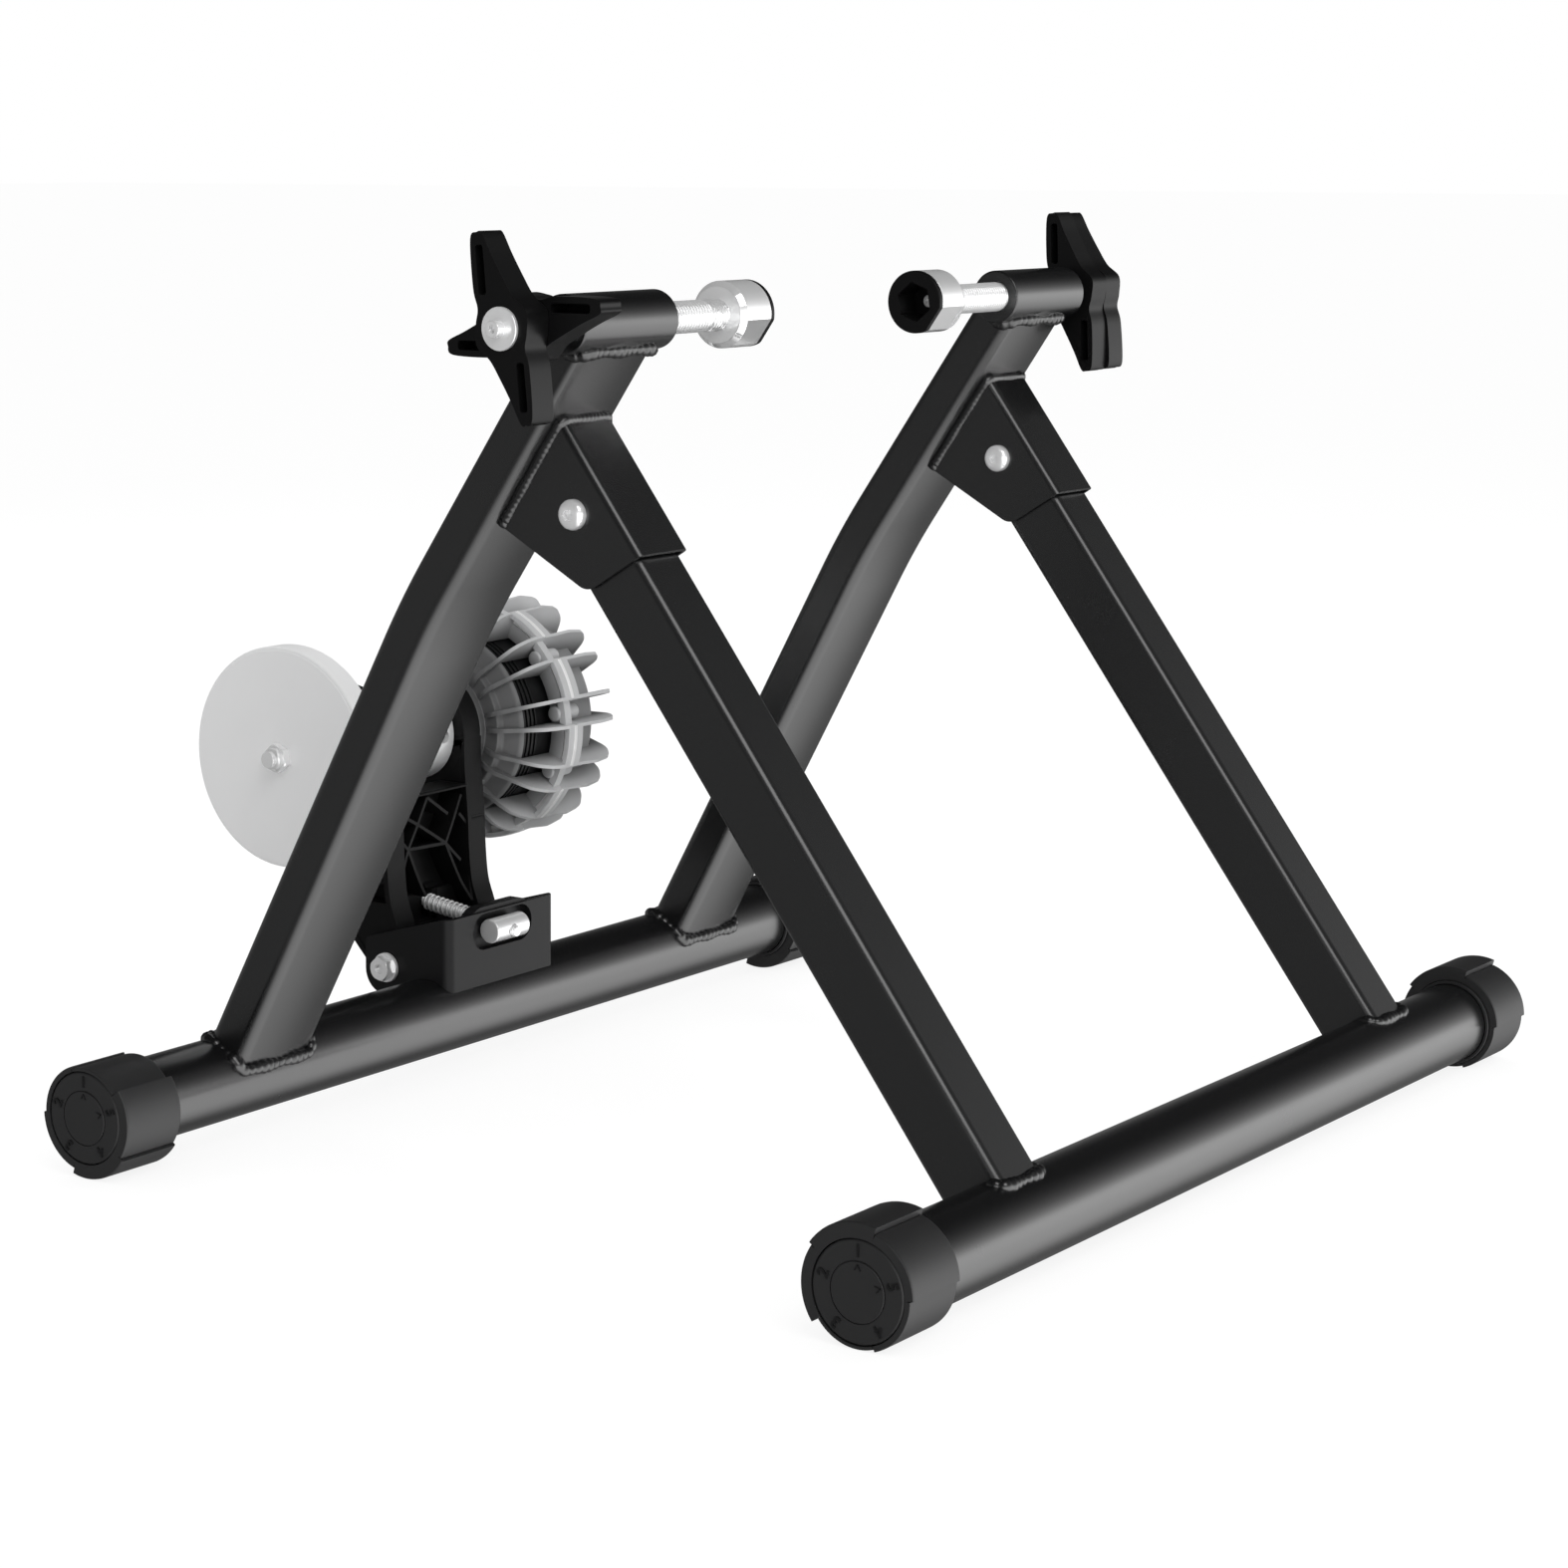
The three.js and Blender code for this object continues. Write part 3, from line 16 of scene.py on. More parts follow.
import bmesh
import bpy
import numpy as np
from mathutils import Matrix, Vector


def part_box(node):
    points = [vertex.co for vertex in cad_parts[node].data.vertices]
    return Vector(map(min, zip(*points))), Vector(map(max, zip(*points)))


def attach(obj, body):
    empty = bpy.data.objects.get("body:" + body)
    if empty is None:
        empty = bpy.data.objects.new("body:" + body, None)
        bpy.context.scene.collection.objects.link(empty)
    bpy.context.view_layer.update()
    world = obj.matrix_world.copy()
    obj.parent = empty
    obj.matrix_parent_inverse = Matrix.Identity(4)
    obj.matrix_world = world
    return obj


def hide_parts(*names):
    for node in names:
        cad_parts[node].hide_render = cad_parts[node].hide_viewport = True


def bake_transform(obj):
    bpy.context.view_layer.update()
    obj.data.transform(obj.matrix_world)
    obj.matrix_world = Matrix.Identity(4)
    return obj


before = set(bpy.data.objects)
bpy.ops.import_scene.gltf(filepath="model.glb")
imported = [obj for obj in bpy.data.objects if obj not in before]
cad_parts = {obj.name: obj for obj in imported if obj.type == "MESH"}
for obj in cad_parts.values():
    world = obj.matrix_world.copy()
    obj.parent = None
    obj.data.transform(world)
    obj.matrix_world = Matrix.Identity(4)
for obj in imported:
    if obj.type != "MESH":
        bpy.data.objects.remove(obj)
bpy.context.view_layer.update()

LOG = logging.getLogger("trainer")
MILLIMETRE = 0.001
X_AXIS = np.array([1.0, 0.0, 0.0])
SIDES = (("left", -1), ("right", 1))
Pair = tuple[float, float]
Triple = tuple[float, float, float]
Pairs = tuple[Pair, ...]


def unit(vector: Sequence[float]) -> np.ndarray:
    """Returns the vector divided by its length."""
    vector = np.asarray(vector, float)
    return vector / np.linalg.norm(vector, axis=-1, keepdims=True)


def at(x: Any, point: Any) -> np.ndarray:
    """Returns points (x, y, z) from a place along X and points (y, z) of the side view.

    Args:
        x: A place along X, or one for each point.
        point: Points (..., 2) of the side view.

    Returns:
        Points (..., 3).
    """
    point = np.asarray(point, float)
    x = np.broadcast_to(np.asarray(x, float), point.shape[:-1])
    return np.concatenate([x[..., None], point], axis=-1)


@dataclass(frozen=True)
class Stance:
    """Where the stand's parts sit in the side view, as (y, z) in millimetres."""

    rear: Pair = (0, 0)
    front: Pair = (-408.1, 0)
    hinge: Pair = (-201.3, 271.1)
    bend: Pair = (-121.2, 224.4)
    sleeve: Pair = (-206.6, 349.9)
    unit: Pair = (60, 127)
    pivot: Pair = (25, 21.5)
    barrel: Pair = (-15.5, 39.5)
    seat: Pair = (45.9, 48.1)
    frame_x: float = 170
    rear_step: float = 27.4
    front_step: float = 22.4

    def lean(self) -> float:
        """Returns the angle by which the front feet's thinner steps tip the stand."""
        return math.asin((self.rear_step - self.front_step) / (self.rear[0] - self.front[0]))


STANCE = Stance()


@dataclass
class LevelFrame:
    """The stand's level frame inside the row frame, found from the rear base tube."""

    lean: float
    origin: np.ndarray = field(default_factory=lambda: np.zeros(3))

    def __post_init__(self) -> None:
        """Puts the origin on the rear base tube's axis."""
        low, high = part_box("rear_base_tube")
        self.origin = (np.array(low) + np.array(high)) / 2

    def row(self, points: np.ndarray) -> np.ndarray:
        """Turns level millimetres into row metres.

        Args:
            points: Places of shape (..., 3). y and z turn by the lean angle about X.

        Returns:
            The same places in the row frame, in metres.
        """
        x, y, z = np.moveaxis(np.asarray(points, float), -1, 0)
        cosine, sine = math.cos(self.lean), math.sin(self.lean)
        turned = np.stack([x, cosine * y - sine * z, sine * y + cosine * z], axis=-1)
        return turned * MILLIMETRE + self.origin


LEVEL = LevelFrame(STANCE.lean())


@dataclass
class Solid:
    """A closed surface: points in level millimetres and faces of point numbers."""

    points: np.ndarray
    faces: list[tuple[int, ...]]


def left_of(heading: np.ndarray) -> np.ndarray:
    """Returns side-view directions turned a quarter to the left: (a, b) becomes (-b, a)."""
    return np.stack([-heading[..., 1], heading[..., 0]], axis=-1)


def spun(points: np.ndarray, turn: float) -> np.ndarray:
    """Turns points (a, b) about zero: (a cos - b sin, a sin + b cos)."""
    cosine, sine = math.cos(turn), math.sin(turn)
    return points @ np.array([[cosine, -sine], [sine, cosine]]).T


def around(axis: np.ndarray, angle: np.ndarray) -> np.ndarray:
    """Returns directions square to an axis: cos(angle) * side + sin(angle) * other."""
    side = unit(np.cross(axis, [0.0, 0.0, 1.0]))
    return np.cos(angle) * side + np.sin(angle) * np.cross(axis, side)


def evened(path: np.ndarray, count: int, ring: bool = False) -> tuple[np.ndarray, np.ndarray]:
    """Spreads points evenly along a path.

    Args:
        path: Points (n, 2) or (n, 3).
        count: How many points are wanted.
        ring: Whether the path closes.

    Returns:
        The points, and the length travelled to each.
    """
    path = np.concatenate([path, path[:1]]) if ring else path
    steps = np.linalg.norm(np.diff(path, axis=0), axis=1)
    travelled = np.concatenate([[0], np.cumsum(steps)])
    even = np.linspace(0, travelled[-1], count, endpoint=not ring)
    return np.stack([np.interp(even, travelled, places) for places in path.T], axis=-1), even


def grid(points: np.ndarray, ring: bool = False, caps: bool = True) -> Solid:
    """Joins a grid of points into a tube-like surface; columns always wrap round.

    Args:
        points: Array (rows, columns, 3). Face (i, j) joins rows i, i+1 and columns j, j+1.
        ring: Whether the last row joins the first.
        caps: Whether the first and last rows are closed with one face each.

    Returns:
        The surface.
    """
    rows, columns = points.shape[:2]
    index = np.arange(rows * columns).reshape(rows, columns)
    index = np.hstack([index, index[:, :1]])
    if ring:
        index = np.vstack([index, index[:1]])
    corners = [index[:-1, :-1], index[:-1, 1:], index[1:, 1:], index[1:, :-1]]
    faces = [tuple(face) for face in np.stack(corners, axis=-1).reshape(-1, 4).tolist()]
    if caps and not ring:
        faces.append(tuple(range(columns))[::-1])
        faces.append(tuple(range((rows - 1) * columns, rows * columns)))
    return Solid(points.reshape(-1, 3), faces)


def rounded(corners: Sequence[Sequence[float]], steps: int = 6) -> np.ndarray:
    """Rounds the corners of a closed outline.

    Each corner is (a, b, radius). Its arc touches both edges, so its centre lies on the
    corner's bisector at radius / sin(half angle).

    Args:
        corners: The corners in order; a radius of zero keeps a corner sharp.
        steps: Steps along each arc.

    Returns:
        The outline, shape (n, 2).
    """
    corners = np.asarray(corners, float)
    parts = []
    for i, (a, b, radius) in enumerate(corners):
        corner = np.array([a, b])
        if radius <= 0:
            parts.append(corner[None])
            continue
        before = unit(corners[i - 1, :2] - corner)
        after = unit(corners[(i + 1) % len(corners), :2] - corner)
        half = math.acos(float(np.clip(before @ after, -1, 1))) / 2
        centre = corner + unit(before + after) * radius / math.sin(half)
        first = corner + before * radius / math.tan(half) - centre
        last = corner + after * radius / math.tan(half) - centre
        start = math.atan2(first[1], first[0])
        turn = (math.atan2(last[1], last[0]) - start + math.pi) % (2 * math.pi) - math.pi
        angles = start + turn * np.linspace(0, 1, steps + 1)
        parts.append(centre + radius * np.stack([np.cos(angles), np.sin(angles)], axis=-1))
    return np.concatenate(parts)


def flowing(points: Sequence[Sequence[float]], steps: int = 6) -> np.ndarray:
    """Draws a closed Catmull-Rom curve through points.

    Between two points p1 and p2 with neighbours p0 and p3 the curve is
    (2 p1 + (p2 - p0) t + (2 p0 - 5 p1 + 4 p2 - p3) t^2 + (3 p1 - p0 - 3 p2 + p3) t^3) / 2.

    Args:
        points: Points (n, 2) that the curve passes.
        steps: Steps between two points.

    Returns:
        The outline, shape (n * steps, 2).
    """
    p1 = np.asarray(points, float)[:, None, :]
    p0, p2, p3 = np.roll(p1, 1, 0), np.roll(p1, -1, 0), np.roll(p1, -2, 0)
    t = (np.arange(steps) / steps)[None, :, None]
    bends = (p2 - p0) * t + (2 * p0 - 5 * p1 + 4 * p2 - p3) * t**2
    curve = (2 * p1 + bends + (3 * p1 - p0 - 3 * p2 + p3) * t**3) / 2
    return curve.reshape(-1, 2)


def box_outline(width: float, height: float, radius: float, steps: int = 6) -> np.ndarray:
    """Returns a rectangle with round corners about its middle."""
    w, h = width / 2, height / 2
    return rounded([(-w, -h, radius), (w, -h, radius), (w, h, radius), (-w, h, radius)], steps)


def bushing(ends: Pair, radii: Pair, edges: Pair = (0, 0)) -> np.ndarray:
    """Returns the profile of a plain ring or bar.

    Args:
        ends: Where it starts and ends along its axis.
        radii: Its inner and outer radius.
        edges: How far its inner and outer edges are rounded.

    Returns:
        The profile, for revolve.
    """
    (start, end), (inner, outer), (inside, outside) = ends, radii, edges
    return rounded([
        (start, inner, inside), (start, outer, outside),
        (end, outer, outside), (end, inner, inside),
    ])


def circle_outline(centre: Sequence[float], radius: float, steps: int = 64) -> np.ndarray:
    """Returns the points of a circle."""
    angles = np.linspace(0, 2 * math.pi, steps, endpoint=False)
    return np.asarray(centre) + radius * np.stack([np.cos(angles), np.sin(angles)], axis=-1)


def plate(outline: np.ndarray, start: float, end: float) -> Solid:
    """Carries a side-view outline along X from start to end."""
    outline = np.asarray(outline, float)
    return grid(np.stack([at(start, outline), at(end, outline)]))


def revolve(
    profile: Sequence[Sequence[float]],
    origin: Sequence[float],
    axis: Sequence[float] = (1, 0, 0),
    sides: int = 96,
) -> Solid:
    """Turns a profile of (distance along the axis, radius) about the axis.

    A point is origin + along * axis + radius * (cos(turn) * side + sin(turn) * other).

    Args:
        profile: Ends on the axis, or is a loop that closes on itself.
        origin: A point of the axis.
        axis: The axis' direction.
        sides: Points round the axis.

    Returns:
        The closed surface.
    """
    profile = np.asarray(profile, float)
    axis = unit(axis)
    round_axis = around(axis, np.linspace(0, 2 * math.pi, sides, endpoint=False)[:, None])
    along, radius = profile[:, 0, None, None], profile[:, 1, None, None]
    points = np.asarray(origin, float) + along * axis + radius * round_axis[None]
    loop = not np.allclose(profile[[0, -1], 1], 0)
    return grid(points, ring=loop, caps=False)


def rod(radius: float, start: float, end: float, centre: Sequence[float], sides: int = 64) -> Solid:
    """Returns a plain round bar along X, for cutting and joining."""
    profile = [(start, 0), (start, radius), (end, radius), (end, 0)]
    return revolve(profile, at(0, centre), sides=sides)


def swept(section: np.ndarray, path: np.ndarray, x: float) -> Solid:
    """Carries a section along a side-view path.

    Args:
        section: Points (offset along X, offset across the path).
        path: Points (y, z), closely spaced.
        x: Where the path stands along X.

    Returns:
        The closed surface.
    """
    across = left_of(unit(np.gradient(path, axis=0)))
    side_view = path[:, None, :] + section[None, :, 1:2] * across[:, None, :]
    return grid(at(x + section[None, :, 0].repeat(len(path), 0), side_view))


def bead(
    path: np.ndarray, normal: np.ndarray, radius: Any, sides: int = 12, ring: bool = False
) -> Solid:
    """Carries a circle along a path: point = path + radius * (cos(a) * normal + sin(a) * side).

    Args:
        path: Points (n, 3).
        normal: A direction off the path at each point.
        radius: One radius, or one for each point.
        sides: Points round the circle.
        ring: Whether the path closes.

    Returns:
        The closed surface.
    """
    if ring:
        tangent = unit(np.roll(path, -1, 0) - np.roll(path, 1, 0))
    else:
        tangent = unit(np.gradient(path, axis=0))
    normal = unit(normal - (normal * tangent).sum(-1, keepdims=True) * tangent)
    side = np.cross(tangent, normal)
    angle = np.linspace(0, 2 * math.pi, sides, endpoint=False)[None, :, None]
    radius = np.broadcast_to(np.asarray(radius, float), len(path))[:, None, None]
    offsets = np.cos(angle) * normal[:, None] + np.sin(angle) * side[:, None]
    return grid(path[:, None] + radius * offsets, ring=ring)


def threaded(
    radius: float,
    depth: float,
    pitch: float,
    length: float,
    origin: np.ndarray,
    axis: np.ndarray,
    sides: int = 32,
) -> Solid:
    """Makes a screw thread.

    With phase = along / pitch - turn, the crest is the sawtooth 2 |phase - 1/2|, made steeper
    and clipped to 0..1. The radius falls by depth * (1 - crest), and by a share of the depth
    more within one pitch of each end.

    Args:
        radius: Outer radius.
        depth: Depth of the groove.
        pitch: Distance between turns.
        length: Length of the threaded bar.
        origin: Where it starts.
        axis: Its direction.
        sides: Points round it.

    Returns:
        The bar with its thread, closed at both ends.
    """
    rows_per_turn, steepness, root, end_fall = 8, 1.6, 0.2, 0.4
    rows = int(length / pitch * rows_per_turn)
    along = np.linspace(0, length, rows)[:, None]
    turn = np.linspace(0, 1, sides, endpoint=False)[None, :]
    phase = (along / pitch - turn) % 1
    crest = np.clip(steepness * (2 * np.abs(phase - 0.5)) - root, 0, 1)
    fade = np.clip(np.minimum(along, length - along) / pitch, 0, 1)
    out = (radius - depth * (1 - crest) - end_fall * depth * (1 - fade))[..., None]
    axis = unit(axis)
    round_axis = around(axis, 2 * math.pi * turn[..., None])
    return grid(origin + along[..., None] * axis + out * round_axis)


def hexagon(centre: Sequence[float], corner: float, turn: float = 0) -> np.ndarray:
    """Returns a hexagon whose corners lie at a radius, turned by an angle."""
    angles = turn + np.arange(6) * math.pi / 3
    return np.asarray(centre) + corner * np.stack([np.cos(angles), np.sin(angles)], axis=-1)


class Wire:
    """One output socket of a material; arithmetic on it adds Math nodes."""

    def __init__(self, graph: "Graph", socket: bpy.types.NodeSocket) -> None:
        """Keeps the socket and the graph that it belongs to."""
        self.graph = graph
        self.socket = socket

    def _math(self, operation: str, first: Any, second: Any) -> "Wire":
        """Adds a Math node of two inputs."""
        return self.graph.add("ShaderNodeMath", {"operation": operation}, {0: first, 1: second})

    def __add__(self, other: Any) -> "Wire":
        """Adds."""
        return self._math("ADD", self, other)

    __radd__ = __add__

    def __sub__(self, other: Any) -> "Wire":
        """Takes away."""
        return self._math("SUBTRACT", self, other)

    def __rsub__(self, other: Any) -> "Wire":
        """Takes this from a number."""
        return self._math("SUBTRACT", other, self)

    def __mul__(self, other: Any) -> "Wire":
        """Multiplies."""
        return self._math("MULTIPLY", self, other)

    __rmul__ = __mul__

    def __truediv__(self, other: Any) -> "Wire":
        """Divides."""
        return self._math("DIVIDE", self, other)

    def __pow__(self, other: Any) -> "Wire":
        """Raises to a power."""
        return self._math("POWER", self, other)


class Graph:
    """The node tree of one material or of the world."""

    def __init__(self, tree: bpy.types.NodeTree) -> None:
        """Empties the tree."""
        self.tree = tree
        tree.nodes.clear()

    def add(
        self,
        kind: str,
        settings: dict[str, Any] | None = None,
        inputs: dict[Any, Any] | None = None,
        output: Any = 0,
    ) -> Wire:
        """Adds a node.

        Args:
            kind: The node's type.
            settings: Its own settings; "stops" are a colour ramp's (place, colour) pairs.
            inputs: Values or wires by socket name or number.
            output: Which output is returned.

        Returns:
            The output, or the node's first input where it has none.
        """
        node = self.tree.nodes.new(kind)
        for name, value in (settings or {}).items():
            if name == "stops":
                ramp = node.color_ramp
                while len(ramp.elements) < len(value):
                    ramp.elements.new(0.5)
                for element, (place, colour) in zip(ramp.elements, value):
                    element.position = place
                    element.color = colour
            else:
                setattr(node, name, value)
        for key, value in (inputs or {}).items():
            if isinstance(value, Wire):
                self.tree.links.new(value.socket, node.inputs[key])
            else:
                node.inputs[key].default_value = value
        return Wire(self, node.outputs[output] if len(node.outputs) else node.inputs[0])

    def place(self) -> Wire:
        """Returns the Object coordinates, in metres of the row frame."""
        return self.add("ShaderNodeTexCoord", output="Object")

    def noise(self, where: Wire, size: float, detail: float = 3, roughness: float = 0.5) -> Wire:
        """Returns noise from 0 to 1 whose lumps are about size millimetres wide.

        Args:
            where: Where it is read.
            size: The lumps' width in millimetres.
            detail: How many finer layers are added.
            roughness: How strong they are.

        Returns:
            The noise.
        """
        scale = 1 / (size * MILLIMETRE)
        values = {"Vector": where, "Scale": scale, "Detail": detail, "Roughness": roughness}
        return self.add("ShaderNodeTexNoise", {"noise_dimensions": "3D"}, values)


class Grain(Enum):
    """How a finish's fine surface runs."""

    SPRAYED = "sprayed"
    MOULDED = "moulded"
    CAST = "cast"
    PLATED = "plated"
    TURNED = "turned"


@dataclass(frozen=True)
class Finish:
    """A surface finish of the trainer."""

    name: str
    slot: str
    colour: Triple
    roughness: float
    metallic: float = 0
    grain: Grain = Grain.SPRAYED
    lump: float = 1.2
    relief: float = 0.03
    wander: float = 0.08
    tint: float = 0.15
    specular: float = 0.5
    # depth, when given, is painted shade: (lowest colour factor, near radius, far radius) about the
    # roller's axis, darkening the base colour towards the axis where the fins' recesses lie in
    # shade
    depth: Triple | None = None
    broad: Triple = (40, 3, 0.6)

    def round_axis(self, graph: Graph, where: Wire) -> tuple[Wire, Wire]:
        """Returns x and the distance from the roller's axis.

        Args:
            graph: The material's nodes.
            where: The Object coordinates.

        Returns:
            Both wires, in metres.
        """
        centre = LEVEL.row(at(0, STANCE.unit))
        moved = graph.add(
            "ShaderNodeVectorMath",
            {"operation": "SUBTRACT"},
            {0: where, 1: (0.0, float(centre[1]), float(centre[2]))},
        )
        split = graph.add("ShaderNodeSeparateXYZ", inputs={0: moved}).socket.node
        x, y, z = (Wire(graph, socket) for socket in split.outputs)
        return x, (y * y + z * z) ** 0.5

    def lathe_marks(self, graph: Graph, where: Wire) -> Wire:
        """Returns rings about the roller's axis: noise of x and the distance from it.

        Args:
            graph: The material's nodes.
            where: The Object coordinates.

        Returns:
            The rings' noise, from 0 to 1.
        """
        x, reach = self.round_axis(graph, where)
        ringed = graph.add("ShaderNodeCombineXYZ", inputs={0: x, 1: reach})
        return graph.noise(ringed, self.lump, 4, 0.7)

    def material(self) -> bpy.types.Material:
        """Builds the material once and returns it.

        Returns:
            The material, one for all pieces of this finish.
        """
        found = bpy.data.materials.get(self.name)
        if found:
            return found
        made = bpy.data.materials.new(self.name)
        made.use_nodes = True
        graph = Graph(made.node_tree)
        where = graph.place()
        if self.grain is Grain.TURNED:
            fine = self.lathe_marks(graph, where)
        else:
            fine = graph.noise(where, self.lump, 2 if self.grain is Grain.SPRAYED else 4)
        broad = graph.noise(where, *self.broad)
        shade = 1 - self.tint / 2 + broad * self.tint
        # Painted shade: the base colour falls to the low factor near the roller's axis and rises to
        # full by the far radius, standing in for shade deep between the fins
        if self.depth:
            low, near, far = self.depth
            _, reach = self.round_axis(graph, where)
            shade = shade * graph.add(
                "ShaderNodeMapRange",
                {"interpolation_type": "SMOOTHSTEP"},
                {
                    "Value": reach, "From Min": near * MILLIMETRE, "From Max": far * MILLIMETRE,
                    "To Min": low, "To Max": 1.0,
                },
            )
        grey = graph.add("ShaderNodeCombineColor", None, {0: shade, 1: shade, 2: shade})
        colour = graph.add(
            "ShaderNodeMix",
            {"data_type": "RGBA", "blend_type": "MULTIPLY"},
            {"Factor": 1.0, 6: (*self.colour, 1.0), 7: grey},
            output=2,
        )
        level = self.roughness - 0.75 * self.wander
        rough = broad * self.wander + fine * (self.wander / 2) + level
        bump = graph.add(
            "ShaderNodeBump",
            None,
            {"Strength": 1.0, "Distance": self.relief * MILLIMETRE, "Height": fine},
        )
        shader = graph.add(
            "ShaderNodeBsdfPrincipled",
            None,
            {
                "Base Color": colour,
                "Metallic": self.metallic,
                "Roughness": rough,
                "Specular IOR Level": self.specular,
                "Normal": bump,
            },
        )
        graph.add("ShaderNodeOutputMaterial", None, {"Surface": shader})
        return made


class Finishes:
    """The finishes that the trainer's pieces are given."""

    powder = Finish(
        "black_powder_coat", "frame_paint", (0.006, 0.0062, 0.0065), 0.26,
        lump=1.4, relief=0.003, wander=0.05, specular=0.9,
    )
    plastic = Finish(
        "moulded_black_plastic", "black_plastic", (0.006, 0.006, 0.0062), 0.34,
        grain=Grain.MOULDED, lump=0.5, relief=0.008, wander=0.08, specular=0.14,
    )
    nylon = Finish(
        "black_glass_filled_nylon", "yoke_black", (0.006, 0.006, 0.0062), 0.5,
        grain=Grain.MOULDED, lump=0.8, relief=0.02, wander=0.12, specular=0.12,
    )
    feet = Finish(
        "moulded_foot_plastic", "black_plastic", (0.02, 0.02, 0.0205), 0.48,
        grain=Grain.MOULDED, lump=0.5, relief=0.008, wander=0.08, specular=0.45,
    )
    bracket = Finish(
        "satin_black_paint", "frame_paint", (0.01, 0.01, 0.0105), 0.42,
        lump=1.1, relief=0.004, wander=0.06, specular=0.15,
    )
    zinc = Finish(
        "bright_zinc_plate", "zinc", (0.97, 0.972, 0.975), 0.16, 0.42,
        grain=Grain.PLATED, lump=1.5, relief=0.006, wander=0.14, tint=0.2,
    )
    chrome = Finish(
        "polished_chrome", "chrome", (0.97, 0.972, 0.975), 0.08, 0.5,
        grain=Grain.PLATED, lump=6, relief=0.004, wander=0.05, tint=0.06,
    )
    roller = Finish(
        "turned_aluminium", "roller_alloy", (0.9, 0.903, 0.907), 0.3, 0.15,
        grain=Grain.TURNED, lump=0.35, relief=0.006, wander=0.14, tint=0.08,
    )
    flywheel = Finish(
        "turned_pale_steel", "flywheel_steel", (0.97, 0.972, 0.975), 0.4, 0.05,
        grain=Grain.TURNED, lump=0.3, relief=0.004, wander=0.1, tint=0.05,
    )
    # The casting's depth darkens its base colour towards the unit's axis: painted shade in the
    # recesses between the fins
    casting = Finish(
        "grey_painted_casting", "housing_alloy", (0.62, 0.624, 0.63), 0.5, 0.1,
        grain=Grain.CAST, lump=0.7, relief=0.03, wander=0.14, tint=0.14, depth=(0.2, 44, 60),
    )
    machined = Finish(
        "machined_edge", "housing_alloy", (0.95, 0.95, 0.95), 0.28, 0.1,
        grain=Grain.TURNED, lump=0.3, relief=0.004, wander=0.1, tint=0.06,
    )
    core = Finish(
        "black_coated_core", "core_black", (0.005, 0.005, 0.0055), 0.45,
        grain=Grain.SPRAYED, lump=1, relief=0.006, wander=0.1, specular=0.4,
    )


def mesh_object(name: str, solid: Solid) -> bpy.types.Object:
    """Puts a solid into a mesh object in the row frame, its doubles merged.

    Args:
        name: The object's name.
        solid: The surface in level millimetres.

    Returns:
        The object, at the origin.
    """
    mesh = bpy.data.meshes.new(name)
    mesh.from_pydata(LEVEL.row(solid.points).tolist(), [], solid.faces)
    whole = bmesh.new()
    whole.from_mesh(mesh)
    bmesh.ops.remove_doubles(whole, verts=whole.verts, dist=2e-6)
    bmesh.ops.recalc_face_normals(whole, faces=whole.faces)
    whole.to_mesh(mesh)
    whole.free()
    made = bpy.data.objects.new(name, mesh)
    bpy.context.scene.collection.objects.link(made)
    return made


def combine(solids: Iterable[Solid]) -> Solid:
    """Returns one surface that holds several, side by side.

    Args:
        solids: The surfaces.

    Returns:
        Their points and faces in one surface.
    """
    points, faces, start = [], [], 0
    for solid in solids:
        points.append(solid.points)
        faces += [tuple(start + i for i in face) for face in solid.faces]
        start += len(solid.points)
    return Solid(np.concatenate(points), faces)


